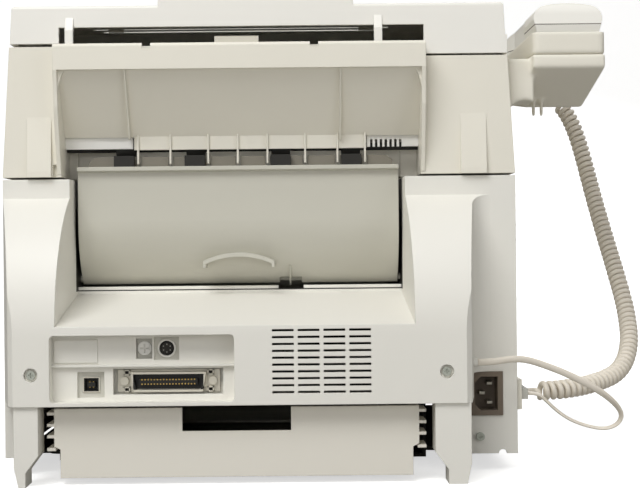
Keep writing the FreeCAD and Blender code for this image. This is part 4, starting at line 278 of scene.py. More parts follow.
def rubber_group():
    """Rubber with a stipple and a pale bloom."""
    group, given, leave = new_group("Stippled rubber", [
        ("Color", "NodeSocketColor", (0.03, 0.03, 0.03, 1)),
        ("Roughness", "NodeSocketFloat", 0.75),
    ], FINISH_OUT)
    place = own_place(group)
    stipple = add(group, "ShaderNodeTexVoronoi", Vector=place, Scale=900.0).outputs["Distance"]
    bloom = noise(group, place, Scale=30.0, Detail=3.0)
    shade = math_node(group, "MULTIPLY", bloom, BLOOM_SHARE)
    colour = mix_colour(group, shade, given["Color"], BLOOM)
    rough = math_node(group, "ADD", given["Roughness"], math_node(group, "MULTIPLY", bloom, BLOOM_ROUGH))
    return hand_back(group, leave, Color=colour, Roughness=rough, Height=stipple)


RUBBER = rubber_group()
print(RUBBER.name, len(RUBBER.nodes), "nodes")

# %% [markdown]
# Some pieces show two colours, such as a metal shell round a black tongue. Faces could be picked by
# hand, but that choice is lost when the solids change. A mask says where the second colour lies
# instead: inside a box, or between two circles about an axis along Y.

# %% Masks
MASK_OUT = [("Share", "NodeSocketFloat")]
ACROSS_Y = (1, 0, 1)


def within_group():
    """One inside a box and nought outside it, in the machine's own metres."""
    group, given, leave = new_group("Within a box", [
        ("Middle", "NodeSocketVector", (0, 0, 0)),
        ("Half", "NodeSocketVector", (0.01, 0.01, 0.01)),
    ], MASK_OUT)
    away = vector_node(group, "SUBTRACT", own_place(group), given["Middle"])["Vector"]
    size = vector_node(group, "ABSOLUTE", away)["Vector"]
    left = add(group, "ShaderNodeSeparateXYZ", Vector=size).outputs
    limit = add(group, "ShaderNodeSeparateXYZ", Vector=given["Half"]).outputs
    share = 1.0
    for axis in "XYZ":
        share = math_node(group, "MULTIPLY", math_node(group, "LESS_THAN", left[axis], limit[axis]), share)
    return hand_back(group, leave, Share=share)


def ring_group():
    """One between two radii about an axis along Y, and nought elsewhere."""
    group, given, leave = new_group("Within a ring", [
        ("Middle", "NodeSocketVector", (0, 0, 0)),
        ("Inner", "NodeSocketFloat", 0.005),
        ("Outer", "NodeSocketFloat", 0.007),
    ], MASK_OUT)
    away = vector_node(group, "SUBTRACT", own_place(group), given["Middle"])["Vector"]
    reach = vector_node(group, "LENGTH", vector_node(group, "MULTIPLY", away, ACROSS_Y)["Vector"])["Value"]
    outside = math_node(group, "GREATER_THAN", reach, given["Inner"])
    inside = math_node(group, "LESS_THAN", reach, given["Outer"])
    return hand_back(group, leave, Share=math_node(group, "MULTIPLY", outside, inside))


WITHIN, RING = within_group(), ring_group()
print(len(bpy.data.node_groups), "node groups in all")

# %% [markdown]
# ## Materials
# A material is one shared group feeding a Principled shader. Real mouldings have small radii where the
# solids have sharp edges. Rounding every edge would cost many faces, so a bevel node rounds only the
# light on them. Colours are written as a display shows them and turned into linear values.

# %% Material recipe
BEVEL_SAMPLES = 4
BUMP_DEPTH = 0.0004
SOFT_EDGE, CRISP_EDGE, FINE_EDGE = 0.0008, 0.0003, 0.0002


def srgb(red, green, blue):
    """A linear colour from display values of 0 to 255, by the formula of the sRGB standard."""
    linear = []
    for value in (red, green, blue):
        share = value / 255
        linear.append(share / 12.92 if share <= 0.04045 else ((share + 0.055) / 1.055) ** 2.4)
    return (*linear, 1)


def use_group(tree, group, values):
    """The outputs of a shared group that is placed in a tree with values of its own."""
    made = tree.nodes.new("ShaderNodeGroup")
    made.node_tree = group
    for label, value in values.items():
        made.inputs[label].default_value = value
    return made.outputs


def finish(name, group, colour, roughness, bump, edge=SOFT_EDGE, metal=0.0, extra=None, coat=0.0):
    """A material from one shared group; edge is the radius of the softened corners."""
    material = bpy.data.materials.new(name)
    material.use_nodes = True
    tree = material.node_tree
    shader = tree.nodes["Principled BSDF"].inputs
    effect = use_group(tree, group, {"Color": colour, "Roughness": roughness, **(extra or {})})
    bevel = add(tree, "ShaderNodeBevel", Radius=edge)
    bevel.samples = BEVEL_SAMPLES
    relief = add(tree, "ShaderNodeBump", Strength=bump, Distance=BUMP_DEPTH,
                 Height=effect["Height"], Normal=bevel.outputs["Normal"])
    feed(tree, shader["Base Color"], effect["Color"])
    feed(tree, shader["Roughness"], effect["Roughness"])
    feed(tree, shader["Normal"], relief.outputs["Normal"])
    shader["Metallic"].default_value = metal
    shader["Coat Weight"].default_value = coat
    return material


# %% [markdown]
# Most of the machine is plastic in near whites that differ a little from piece to piece. Each gets
# its own colour and shine, and the large shells share the same drift and dust. In one table they are
# easy to compare.

# %% Plastics
SHELL = {"Grain": 1500.0, "Drift": 0.10, "Dust": 0.08}
MATERIALS = {
    "shell_white": finish("Off-white shell", MOULDED, srgb(245, 243, 236), 0.48, 0.10, extra=SHELL),
    "shell_light": finish("Light shell", MOULDED, srgb(237, 235, 227), 0.48, 0.10, extra=SHELL),
    "shell_warm": finish("Warm shell", MOULDED, srgb(236, 232, 219), 0.50, 0.10, extra=SHELL),
    "shell_grey": finish("Grey chute", MOULDED, srgb(199, 197, 185), 0.40, 0.06, extra=SHELL),
    "panel_grey": finish("Panel grey", MOULDED, srgb(201, 199, 189), 0.5, 0.12, extra=SHELL),
    "key_grey": finish("Key grey", MOULDED, srgb(110, 112, 116), 0.42, 0.06),
    "key_green": finish("Key green", MOULDED, srgb(63, 125, 90), 0.42, 0.06),
    "key_red": finish("Key red", MOULDED, srgb(180, 85, 63), 0.42, 0.06),
    "display": finish("Display", MOULDED, srgb(92, 102, 85), 0.15, 0.0, coat=0.6),
    "cassette_grey": finish("Cassette grey", MOULDED, srgb(234, 230, 219), 0.46, 0.08, extra=SHELL),
    "dark_plastic": finish("Near-black plastic", MOULDED, srgb(22, 20, 16), 0.6, 0.10,
                           extra={"Drift": 0.03, "Dust": 0.05}),
    "inlet_brown": finish("Inlet plastic", MOULDED, srgb(112, 99, 85), 0.5, 0.10, extra={"Drift": 0.05}),
    "guide_grey": finish("Guide grey", MOULDED, srgb(128, 123, 111), 0.45, 0.06, extra={"Drift": 0.06}),
    "white_plastic": finish("White plastic", MOULDED, srgb(243, 242, 237), 0.38, 0.05),
    "clear_plastic": finish("Clear plug", MOULDED, srgb(205, 204, 196), 0.18, 0.0, coat=0.5),
    "cord_grey": finish("Cord vinyl", MOULDED, srgb(240, 232, 218), 0.42, 0.08, edge=CRISP_EDGE),
}
print(len(MATERIALS), "plastics")

# %% [markdown]
# Small metal pieces have crisper edges than plastic, so their bevels are smaller. The plate and the
# sheets of the sockets are painted, which is a moulded finish without dust.

# %% Metals and rubbers
CLEAN = {"Drift": 0.04, "Dust": 0.0}
MATERIALS.update({
    "steel": finish("Plated steel", BRUSHED, srgb(232, 227, 212), 0.34, 0.08, CRISP_EDGE, metal=0.6),
    "plate_zinc": finish("Painted plate", MOULDED, srgb(248, 246, 237), 0.45, 0.06, CRISP_EDGE, extra=CLEAN),
    "sheet_grey": finish("Socket sheet", MOULDED, srgb(205, 203, 193), 0.42, 0.05, FINE_EDGE,
                         extra={"Drift": 0.05, "Dust": 0.0}),
    "screw_zinc": finish("Zinc screw", BRUSHED, srgb(196, 201, 190), 0.36, 0.06, FINE_EDGE, metal=0.6),
    "gold": finish("Gilt contact", BRUSHED, srgb(214, 178, 96), 0.25, 0.03, FINE_EDGE, metal=1.0),
    "roller_metal": finish("Coated roller", BRUSHED, srgb(170, 169, 162), 0.3, 0.05, metal=1.0),
    "roller_rubber": finish("Roller rubber", RUBBER, srgb(40, 39, 36), 0.7, 0.15),
    "foot_rubber": finish("Foot rubber", RUBBER, srgb(50, 49, 46), 0.8, 0.2),
})
print(len(MATERIALS), "materials")

# %% [markdown]
# Materials could be set by hand in each solid's slots. The record names a material slot for each solid,
# so a loop can hand them out and a new solid gets its own at once.


# %% Hand out
def paint(name, material):
    """Gives every slot of a solid one material."""
    for place in nodes[name].material_slots:
        place.material = material


for entry in frame["record"]["subparts"]:
    paint(entry["node"], MATERIALS[entry["material_slot"]])

# %% [markdown]
# A two-tone material is a copy of a plain one, with a second colour let in through a mask. Where the
# second is metal and the first is not, the same mask also blends the metal share.


# %% Two-tone recipe
def in_box(low, high):
    """The mask of a box between two corners, in millimetres."""
    return WITHIN, {"Middle": [(a + b) / 2 * MM for a, b in zip(low, high)],
                    "Half": [(b - a) / 2 * MM for a, b in zip(low, high)]}


def in_ring(middle, inner, outer):
    """The mask of a ring about an axis along Y, in millimetres."""
    return RING, {"Middle": [value * MM for value in middle], "Inner": inner * MM, "Outer": outer * MM}


def two_tone(name, outer, inner, mask, metal=None):
    """A copy of a material with a second colour in a mask; metal is its share outside and inside."""
    material = MATERIALS[outer].copy()
    material.name = name
    tree = material.node_tree
    shader = tree.nodes["Principled BSDF"].inputs
    share = use_group(tree, *mask)["Share"]
    first = shader["Base Color"].links[0].from_socket
    feed(tree, shader["Base Color"], mix_colour(tree, share, first, inner))
    if metal:
        blend = math_node(tree, "MULTIPLY_ADD", share, metal[1] - metal[0], metal[0])
        feed(tree, shader["Metallic"], blend)
    return material


# %% [markdown]
# These boxes, in the machine's millimetres, hold the inside of two sockets, the inlet's pins, the seam
# of the handset and the painted shade in the throat behind the jam cover. The round socket has a pale
# ring. Three more solids have one plain finish that differs from their slot's.

# %% Two-tone solids
BLACK, PIN, PALE = srgb(22, 21, 17), srgb(176, 172, 160), srgb(232, 230, 222)
SEAM, SHADE = srgb(112, 105, 93), srgb(38, 36, 31)
SQUARE_INSIDE = in_box((146.3, 185, 65.3), (156.7, 197, 74.7))
PARALLEL_INSIDE = in_box((72.9, 190.5, 66.2), (122.1, 198.9, 76.8))
INLET_PINS = in_box((-136, 135.2, 48), (-125.5, 149, 65))
SOCKET_RING = in_ring(middle_of("round_socket"), 5.1, 7.0)
HANDSET_SEAM = in_box((-260, -120, 326.9), (-140, 180, 327.7))
# The throat's walls are the rear cover's own pale plastic; this box darkens them with painted shade.
THROAT_PAINTED_SHADE = in_box((-90, 90, 133), (190, 128, 215.5))
OWN_FINISH = {
    "usb_socket": two_tone("Square socket", "steel", BLACK, SQUARE_INSIDE, (0.6, 0.0)),
    "parallel_socket": two_tone("Parallel socket", "steel", BLACK, PARALLEL_INSIDE, (0.6, 0.0)),
    "power_inlet": two_tone("Mains inlet", "inlet_brown", PIN, INLET_PINS, (0.0, 1.0)),
    "round_socket": two_tone("Round socket", "dark_plastic", PALE, SOCKET_RING),
    "handset_back": two_tone("Handset back", "shell_white", SEAM, HANDSET_SEAM),
    # The rear cover's second colour is painted shade inside the throat behind the jam cover.
    "rear_cover": two_tone("Rear cover", "shell_light", SHADE, THROAT_PAINTED_SHADE),
    "interface_plate": MATERIALS["plate_zinc"],
    "pinch_guide": MATERIALS["guide_grey"],
    "cover_screws": MATERIALS["screw_zinc"],
}
for name, material in OWN_FINISH.items():
    paint(name, material)
print(len(OWN_FINISH), "solids with a finish of their own")

# %% [markdown]
# ## Cords
# Each cord has a route of a few chosen points, the same as its solid has. They are the control points
# of a NURBS spline, which is smooth where a line from point to point would look like bent wire.

# %% Routes
COIL_ROUTE = [
    (-0.19485, -0.0724, 0.31825), (-0.19485, -0.0844, 0.31825), (-0.20385, -0.0964, 0.31325),
    (-0.21885, -0.0994, 0.30325), (-0.233, -0.092, 0.288), (-0.2415, -0.084, 0.268),
    (-0.247, -0.074, 0.242), (-0.2515, -0.060, 0.212), (-0.256, -0.038, 0.178),
    (-0.261, -0.010, 0.141), (-0.264, 0.016, 0.109), (-0.260, 0.046, 0.082),
    (-0.246, 0.072, 0.064), (-0.222, 0.096, 0.058), (-0.196, 0.116, 0.0555),
    (-0.1765, 0.121, 0.055), (-0.1625, 0.121, 0.055),
]
LEAD_ROUTE = [
    (-0.121, 0.178, 0.0816), (-0.131, 0.178, 0.0816), (-0.144, 0.1755, 0.0834),
    (-0.157, 0.171, 0.0828), (-0.171, 0.167, 0.078), (-0.186, 0.1635, 0.072),
    (-0.203, 0.160, 0.0635), (-0.217, 0.155, 0.055), (-0.227, 0.150, 0.046),
    (-0.231, 0.146, 0.038), (-0.227, 0.143, 0.031), (-0.218, 0.141, 0.0283),
    (-0.206, 0.139, 0.0305), (-0.194, 0.138, 0.035), (-0.184, 0.1373, 0.042),
    (-0.176, 0.137, 0.050), (-0.170, 0.137, 0.055), (-0.1625, 0.137, 0.055),
]
print(len(COIL_ROUTE), "points for the handset's cord,", len(LEAD_ROUTE), "for the line lead")

# %% [markdown]
# Blender draws the spline, and its points are read back from a mesh of the bare line. All that follows
# a cord then lies on that very line. The order is set once the points are there, or it would stay at
# straight runs.

# %% Splines
SPLINE_ORDER = 3
TUBE_ROUNDNESS = 4
SAME_PLACE = 1e-6


def spline_object(name, points, resolution, bevel=0.0):
    """A curve object of one open NURBS spline with the points as its control points."""
    curve = bpy.data.curves.new(name, "CURVE")
    curve.dimensions = "3D"
    curve.bevel_depth = bevel
    curve.bevel_resolution = TUBE_ROUNDNESS
    curve.resolution_u = resolution
    curve.use_fill_caps = True
    spline = curve.splines.new("NURBS")
    spline.points.add(len(points) - 1)
    for point, place in zip(spline.points, points):
        point.co = (*place, 1)
    spline.order_u = SPLINE_ORDER
    spline.use_endpoint_u = True
    return placed(name, curve)


def line_of(curve_object):
    """The points of a curve's own line."""
    bpy.context.view_layer.update()
    mesh = bpy.data.meshes.new_from_object(curve_object)
    points = [vertex.co.copy() for vertex in mesh.vertices]
    bpy.data.meshes.remove(mesh)
    return [point for i, point in enumerate(points)
            if i == 0 or (point - points[i - 1]).length > SAME_PLACE]


def smooth_line(name, route, resolution):
    """The points of the line that a route's spline draws."""
    curve_object = spline_object(name, route, resolution)
    points = line_of(curve_object)
    bpy.data.objects.remove(curve_object)
    return points


coil_route_line = smooth_line("handset_route", COIL_ROUTE, resolution=24)
lead_line = smooth_line("lead_route", LEAD_ROUTE, resolution=12)
print(len(coil_route_line), "and", len(lead_line), "points on the two lines")

# %% [markdown]
# A spline's points lie closer together where its control points do. A winding or a twist needs them
# evenly spaced, or it would run faster in one place than in another.


# %% Even spacing
def path_length(points):
    """The length of a line through points."""
    return sum((b - a).length for a, b in zip(points, points[1:]))


def even_line(points, count):
    """The same line with evenly spaced points."""
    total = path_length(points)
    made, way, index = [points[0]], 0.0, 0
    for k in range(1, count):
        goal = total * k / (count - 1)
        while index < len(points) - 2 and way + (points[index + 1] - points[index]).length < goal:
            way += (points[index + 1] - points[index]).length
            index += 1
        run = points[index + 1] - points[index]
        made.append(points[index] + run * min((goal - way) / run.length, 1.0))
    return made


def heading_at(points, i):
    """The direction of a line at one of its points."""
    return (points[min(i + 1, len(points) - 1)] - points[max(i - 1, 0)]).normalized()


def clamped(share):
    """A share kept between nought and one."""
    return min(max(share, 0), 1)


def eased(share):
    """A share that starts and ends slowly."""
    return share * share * (3 - 2 * share)


print("runs of", round(path_length(coil_route_line), 4), "and", round(path_length(lead_line), 4), "m")

# %% [markdown]
# The handset's cord is a tight helix. A screw modifier makes straight springs only, and a spring bent
# along a curve stretches its curls. So a loop winds a line round the route at a steady pitch. Its
# curls grow out of a straight tail at the handset and close down to a short one at the plug.

# %% Curls
WIRE, OUTER, PITCH = 0.0042, 0.0150, 0.0052
FIRST_TAIL, LAST_TAIL = 0.050, 0.004
FIRST_EASE, LAST_EASE = 0.016, 0.009
STEPS_PER_CURL = 14
UP = Vector((0, 0, 1))


def curled(points):
    """A line winding round an evenly spaced line; at its ends the turning eases with the cube of the way."""
    length = path_length(points)
    step = length / (len(points) - 1)
    rate = 2 * math.pi / PITCH
    full, end = FIRST_TAIL + FIRST_EASE, length - LAST_TAIL
    thin = end - LAST_EASE
    # Turning that eases with the cube of the way makes a quarter of the turns of a steady rate.
    first_turn, last_turn = rate * FIRST_EASE / 4, rate * LAST_EASE / 4
    whole = first_turn + last_turn + rate * (thin - full)
    side = UP.cross(points[1] - points[0]).normalized()
    wound = []
    for i, spot in enumerate(points):
        heading = heading_at(points, i)
        side = (side - heading * side.dot(heading)).normalized()
        way = i * step
        if full <= way <= thin:
            radius, angle = 1.0, first_turn + rate * (way - full)
        elif way < full:
            share = clamped((way - FIRST_TAIL) / FIRST_EASE)
            radius, angle = eased(share), first_turn * share ** 4
        else:
            share = clamped((end - way) / LAST_EASE)
            radius, angle = eased(share), whole - last_turn * share ** 4
        radius *= (OUTER - WIRE) / 2
        wound.append(spot + side * (radius * math.cos(angle))
                     + heading.cross(side) * (radius * math.sin(angle)))
    return wound


coil_steps = int(path_length(coil_route_line) / PITCH * STEPS_PER_CURL)
helix = curled(even_line(coil_route_line, coil_steps))
print(len(helix), "points on the helix")

# %% [markdown]
# The helix becomes a spline too, and the tube that it draws becomes the cord's mesh.


# %% Handset cord
def dress(mesh, material, smooth=False):
    """Gives a mesh its one material, and smooth shading where it is round all over."""
    mesh.materials.clear()
    mesh.materials.append(MATERIALS[material])
    if smooth:
        for face in mesh.polygons:
            face.use_smooth = True


helix_curve = spline_object("handset_coil_curve", helix, resolution=2, bevel=WIRE / 2)
bpy.context.view_layer.update()
coil = placed("handset_coil", bpy.data.meshes.new_from_object(helix_curve))
dress(coil.data, "cord_grey", smooth=True)
helix_curve.data.bevel_depth = 0
helix_line = line_of(helix_curve)
bpy.data.objects.remove(helix_curve)
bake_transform(coil)
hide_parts("handset_cord")
print("handset cord", round(path_length(helix_line), 3), "m of wire")

# %% [markdown]
# The line lead is a flat cord. It shows its broad side on the way out and twists in the loop, so that
# it comes back on edge. A curve's bevel would choose the twist by itself, so an oval section is
# carried along the spline's line and turned on the way.

# %% Line lead
LEAD_WIDE, LEAD_THICK = 0.0050, 0.0024
LEAD_RINGS, LEAD_SIDES = 150, 16
LEAD_TWIST = (math.radians(8), math.radians(78))
TWIST_FROM, TWIST_TO = 0.42, 0.68
BACKWARD = Vector((0, 1, 0))


def flat_cord(points):
    """A closed oval tube along evenly spaced points, turning from its broad side to its edge."""
    form = bmesh.new()
    loops = []
    for i, spot in enumerate(points):
        heading = heading_at(points, i)
        broad = heading.cross(BACKWARD).normalized()
        share = clamped((i / (len(points) - 1) - TWIST_FROM) / (TWIST_TO - TWIST_FROM))
        turn = LEAD_TWIST[0] + (LEAD_TWIST[1] - LEAD_TWIST[0]) * eased(share)
        across = broad * math.cos(turn) + heading.cross(broad) * math.sin(turn)
        through = heading.cross(across)
        loops.append([form.verts.new(spot + across * (LEAD_WIDE / 2 * math.cos(angle))
                                     + through * (LEAD_THICK / 2 * math.sin(angle)))
                      for angle in round_turns(LEAD_SIDES)])
    for low, high in zip(loops, loops[1:]):
        for k in range(LEAD_SIDES):
            form.faces.new((low[k - 1], low[k], high[k], high[k - 1])).smooth = True
    form.faces.new(loops[0])
    form.faces.new(loops[-1])
    return form


def mesh_of(name, form):
    """A mesh from a bmesh, with its faces turned outwards."""
    mesh = bpy.data.meshes.new(name)
    bmesh.ops.recalc_face_normals(form, faces=form.faces)
    form.to_mesh(mesh)
    form.free()
    return mesh


lead = placed("line_lead_cord", mesh_of("line_lead_cord", flat_cord(even_line(lead_line, LEAD_RINGS))))
dress(lead.data, "cord_grey")
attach(lead, "machine")
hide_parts("line_lead")

# %% [markdown]
# ## Small fittings
# The sockets get their contacts, the keys their plain figures and the handset its sound holes. A
# painted picture would be flat from the side, so each is a closed mesh, which rides with its body.


# %% Piece helpers
def piece(name, form, material, body):
    """A mesh object from a bmesh, with its material, riding with a body."""
    made = placed(name, mesh_of(name, form))
    dress(made.data, material)
    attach(made, body)
    print(name, len(made.data.polygons), "faces")


def add_prism(form, outline, start, end):
    """A closed prism: an outline of points carried from one offset to another."""
    low = [form.verts.new(point + start) for point in outline]
    high = [form.verts.new(point + end) for point in outline]
    form.faces.new(low)
    form.faces.new(high[::-1])
    for i in range(len(outline)):
        j = (i + 1) % len(outline)
        form.faces.new((low[i], high[i], high[j], low[j]))


# %% [markdown]
# Pressed metal has no sharp corners, even on a contact a millimetre wide. A box primitive would have
# them, so a bar is an outline with cut corners that is carried outwards along Y.

# %% Bars
CORNER_CUT = 0.25


def soft_bar(x, z, wide, tall, y):
    """The outline of a bar seen from behind, with cut corners."""
    cut = min(wide, tall) * CORNER_CUT
    corners = []
    for sx, sz in ((1, 1), (-1, 1), (-1, -1), (1, -1)):
        ends = [(sx * wide / 2, sz * (tall / 2 - cut)), (sx * (wide / 2 - cut), sz * tall / 2)]
        corners += ends if sx == sz else ends[::-1]
    return [Vector(((x + a) * MM, y * MM, (z + b) * MM)) for a, b in corners]


def add_bar(form, x, z, wide, tall, y, deep):
    """A bar seen from behind, from y outwards by its depth; all in millimetres."""
    add_prism(form, soft_bar(x, z, wide, tall, y), Vector(), BACKWARD * (deep * MM))


# %% [markdown]
# The parallel socket's tongue has two rows of contacts, seen as dots along its edges. Its clip lugs
# are small wire frames beside the shell, and a dark leaf in each of them is painted shade for the
# opening of its eye. All are bars, so loops can place them about the socket's middle.

# %% Parallel socket
PARALLEL_X, _, PARALLEL_Z = middle_of("parallel_socket")
CONTACT_ROWS, CONTACTS_PER_ROW, CONTACT_STEP = (-1.9, 1.2), 18, 2.16
CONTACT_WIDE, CONTACT_TALL, CONTACT_DEEP, TONGUE_FACE = 1.05, 0.9, 0.3, 197.02
LUG_ASIDE, LUG_RISE, LUG_FOOT, LUG_DEEP = 29.4, 6, 191.0, 2.8
LUG_WIDE, LUG_TALL, LUG_WIRE = 4.6, 4.0, 0.9
EYE_WIDE, EYE_TALL, EYE_FOOT, EYE_DEEP = 2.7, 2.1, 191.02, 0.2

contacts = bmesh.new()
for rise in CONTACT_ROWS:
    for k in range(CONTACTS_PER_ROW):
        aside = (k - (CONTACTS_PER_ROW - 1) / 2) * CONTACT_STEP
        add_bar(contacts, PARALLEL_X + aside, PARALLEL_Z + rise, CONTACT_WIDE, CONTACT_TALL,
                TONGUE_FACE, CONTACT_DEEP)
piece("parallel_contacts", contacts, "gold", "machine")

lugs, lug_eye_shades = bmesh.new(), bmesh.new()
for x in (PARALLEL_X - LUG_ASIDE, PARALLEL_X + LUG_ASIDE):
    for z in (PARALLEL_Z - LUG_RISE, PARALLEL_Z + LUG_RISE):
        for way in (1, -1):
            add_bar(lugs, x, z + way * (LUG_TALL - LUG_WIRE) / 2, LUG_WIDE, LUG_WIRE, LUG_FOOT, LUG_DEEP)
        for way in (1, -1):
            add_bar(lugs, x + way * (LUG_WIDE - LUG_WIRE) / 2, z, LUG_WIRE, LUG_TALL, LUG_FOOT, LUG_DEEP)
        # The eye is a dark leaf of painted shade for the opening in the lug.
        add_bar(lug_eye_shades, x, z, EYE_WIDE, EYE_TALL, EYE_FOOT, EYE_DEEP)
piece("parallel_lugs", lugs, "steel", "machine")
piece("parallel_lug_eyes", lug_eye_shades, "dark_plastic", "machine")

# %% [markdown]
# The square socket holds four gilt blades. The round one shows six contacts in a circle, which are
# sunk in holes and seen only by their ends. So the blades are long bars and the contacts thin ones.

# %% Square and round sockets
SQUARE_X, _, SQUARE_Z = middle_of("usb_socket")
BLADE_ASIDE, BLADE_RISE = 1.25, 1.85
BLADE_WIDE, BLADE_TALL, BLADE_FOOT, BLADE_DEEP = 1.0, 0.5, 187.2, 7.5
ROUND_X, _, ROUND_Z = middle_of("round_socket")
PIN_COUNT, PIN_CIRCLE, FIRST_PIN = 6, 2.7, math.radians(30)
PIN_WIDE, PIN_FOOT, PIN_DEEP = 0.9, 194.52, 0.2

blades = bmesh.new()
for x in (SQUARE_X - BLADE_ASIDE, SQUARE_X + BLADE_ASIDE):
    for z in (SQUARE_Z - BLADE_RISE, SQUARE_Z + BLADE_RISE):
        add_bar(blades, x, z, BLADE_WIDE, BLADE_TALL, BLADE_FOOT, BLADE_DEEP)
piece("square_contacts", blades, "gold", "machine")

pins = bmesh.new()
for turn in round_turns(PIN_COUNT):
    add_bar(pins, ROUND_X + PIN_CIRCLE * math.cos(FIRST_PIN + turn),
            ROUND_Z + PIN_CIRCLE * math.sin(FIRST_PIN + turn), PIN_WIDE, PIN_WIDE, PIN_FOOT, PIN_DEEP)
piece("round_contacts", pins, "roller_metal", "machine")

# %% [markdown]
# A pale sheet closes the space round each small socket, just behind its window in the recess. A plate
# cut by a boolean would do, but a hole in a plate is easy to build: an inner and an outer rim share the
# same angles, and faces join the four rims of its two sides.

# %% Socket sheets
SHEET_TURNS = 32
NEARLY_NOUGHT = 1e-9


def edge_reach(half, turn):
    """How far a rectangle of these half sizes, or a circle of this radius, reaches in a direction."""
    if isinstance(half, float):
        return half
    parts = (math.cos(turn), math.sin(turn))
    return min(size / max(abs(part), NEARLY_NOUGHT) for size, part in zip(half, parts))


def rim(form, x, z, half, y, turns):
    """The points of one rim of a sheet."""
    return [form.verts.new(Vector((x + edge_reach(half, turn) * math.cos(turn), y,
                                   z + edge_reach(half, turn) * math.sin(turn))) * MM)
            for turn in turns]


def add_sheet(form, middle, half, hole, y, deep):
    """A rectangular sheet with a hole, which is a radius or two half sizes."""
    turns = round_turns(SHEET_TURNS)
    for sizes in (half, hole):
        if not isinstance(sizes, float):
            corner = math.atan2(sizes[1], sizes[0])
            turns += [corner, math.pi - corner, math.pi + corner, 2 * math.pi - corner]
    turns.sort()
    x, _, z = middle
    inward = [rim(form, x, z, sizes, y, turns) for sizes in (hole, half)]
    outward = [rim(form, x, z, sizes, y + deep, turns) for sizes in (hole, half)]
    rims = inward + outward[::-1]
    for first, second in zip(rims, rims[1:] + rims[:1]):
        for i in range(len(turns)):
            j = (i + 1) % len(turns)
            form.faces.new((first[i], second[i], second[j], first[j]))


SHEETS = {
    "usb_socket": {"half": (9.8, 9.4), "hole": (6.15, 5.55), "y": 194.3, "deep": 0.9},
    "round_socket": {"half": (9.1, 8.4), "hole": 6.75, "y": 194.3, "deep": 0.9},
    "ground_screw": {"half": (5.5, 6.9), "hole": 5.15, "y": 192.6, "deep": 0.8},
}
sheets = bmesh.new()
for name, sizes in SHEETS.items():
    add_sheet(sheets, middle_of(name), **sizes)
piece("socket_sheets", sheets, "sheet_grey", "machine")

# %% [markdown]
# Under the jam cover lies a pale lip in two lengths, which leave room for the cover's tab between them.
# It has the same section all along, so a prism is enough.

# %% Throat lip
LIP_SECTION = ((114.2, 133.2), (118.9, 133.2), (118.9, 135.7),
               (118.4, 136.2), (114.7, 136.2), (114.2, 135.7))
LIP_LENGTHS = ((-72.0, 2.0), (21.0, 172.0))

lip = bmesh.new()
for low_x, high_x in LIP_LENGTHS:
    add_prism(lip, [Vector((0, y, z)) * MM for y, z in LIP_SECTION],
              Vector((low_x * MM, 0, 0)), Vector((high_x * MM, 0, 0)))
piece("throat_lip", lip, "shell_light", "machine")

# %% [markdown]
# The cradle is one soft moulding: its edges are rounded far more than the machine's. A bevel modifier
# can fold over itself where slopes meet. So a skin of small even faces is laid over each of its two
# solids and relaxed, which rounds every edge a little.

# %% Cradle
SKIN_VOXEL = 1.1 * MM
RELAX_SHARE, CUP_PASSES, BASE_PASSES = 0.5, 9, 16


def rounded_skin(name, node, passes, slot):
    """A relaxed skin over a solid, which stands for it."""
    made = placed(name, nodes[node].data.copy())
    skin = made.modifiers.new("Skin", "REMESH")
    skin.mode, skin.voxel_size = "VOXEL", SKIN_VOXEL
    relax = made.modifiers.new("Relax", "SMOOTH")
    relax.factor, relax.iterations = RELAX_SHARE, passes
    bpy.context.view_layer.update()
    settled = bpy.data.meshes.new_from_object(made.evaluated_get(bpy.context.evaluated_depsgraph_get()))
    made.modifiers.clear()
    made.data = settled
    dress(settled, slot, smooth=True)
    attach(made, "machine")
    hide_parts(node)
    print(name, len(settled.polygons), "faces")


rounded_skin("cradle_cup_skin", "cradle_cup", CUP_PASSES, "shell_warm")
rounded_skin("cradle_base_skin", "cradle_base", BASE_PASSES, "shell_warm")

# %% [markdown]
# The keys carry plain figures, one to nine and nought, printed on their caps. A text object draws
# them, and its mesh is laid a hair above the caps on the sloping panel. Each rides with its own key.

# %% Key figures
PANEL_MIDDLE = Vector((34, -88, 316.5)) * MM
PANEL_RISE, PANEL_RUN = 53, 216
PANEL_TILT = math.atan2(PANEL_RISE, PANEL_RUN)
PANEL = Matrix.Translation(PANEL_MIDDLE) @ Matrix.Rotation(PANEL_TILT, 4, "X")
FIGURES = "123456789 0 "
FIGURE_SIZE, FIGURE_INK = 6.0 * MM, 0.04 * MM
KEYS_IN_ROW, FIRST_KEY, KEY_STEP, CAP_TOP = 3, (40, 26), (19, 16), 3.02


def figure_mesh(figure):
    """The thin mesh of one figure about its own middle."""
    text = bpy.data.curves.new("figure", "FONT")
    text.body = figure
    text.size, text.extrude = FIGURE_SIZE, FIGURE_INK
    text.align_x, text.align_y = "CENTER", "CENTER"
    drawn = placed("figure", text)
    bpy.context.view_layer.update()
    mesh = bpy.data.meshes.new_from_object(drawn)
    bpy.data.objects.remove(drawn)
    return mesh


for index, figure in enumerate(FIGURES):
    if figure == " ":
        continue
    row, column = divmod(index, KEYS_IN_ROW)
    spot = Vector((FIRST_KEY[0] + KEY_STEP[0] * column, FIRST_KEY[1] - KEY_STEP[1] * row, CAP_TOP)) * MM
    mesh = figure_mesh(figure)
    mesh.transform(PANEL @ Matrix.Translation(spot))
    dress(mesh, "white_plastic")
    made = placed(f"key_figure_{index + 1:02d}", mesh)
    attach(made, f"dial_key_{index + 1:02d}")
print(len(FIGURES.replace(" ", "")), "key figures")

# %% [markdown]
# The handset's two ends have rings of sound holes in the face that lies in the cradle. Cutting them
# would need a thick shell with a hollow behind it. A dark leaf at each hole is painted shade for that
# hollow, and looks the same from a step away.

# %% Sound holes
HOLE_RINGS = ((0, 1), (5, 6), (10, 12))
HOLE_RADIUS, HOLE_SIDES = 1.0, 12
HANDSET_FACE, HOLE_LEAF = 309.52, -0.06
HANDSET_X = middle_of("handset_face")[0]

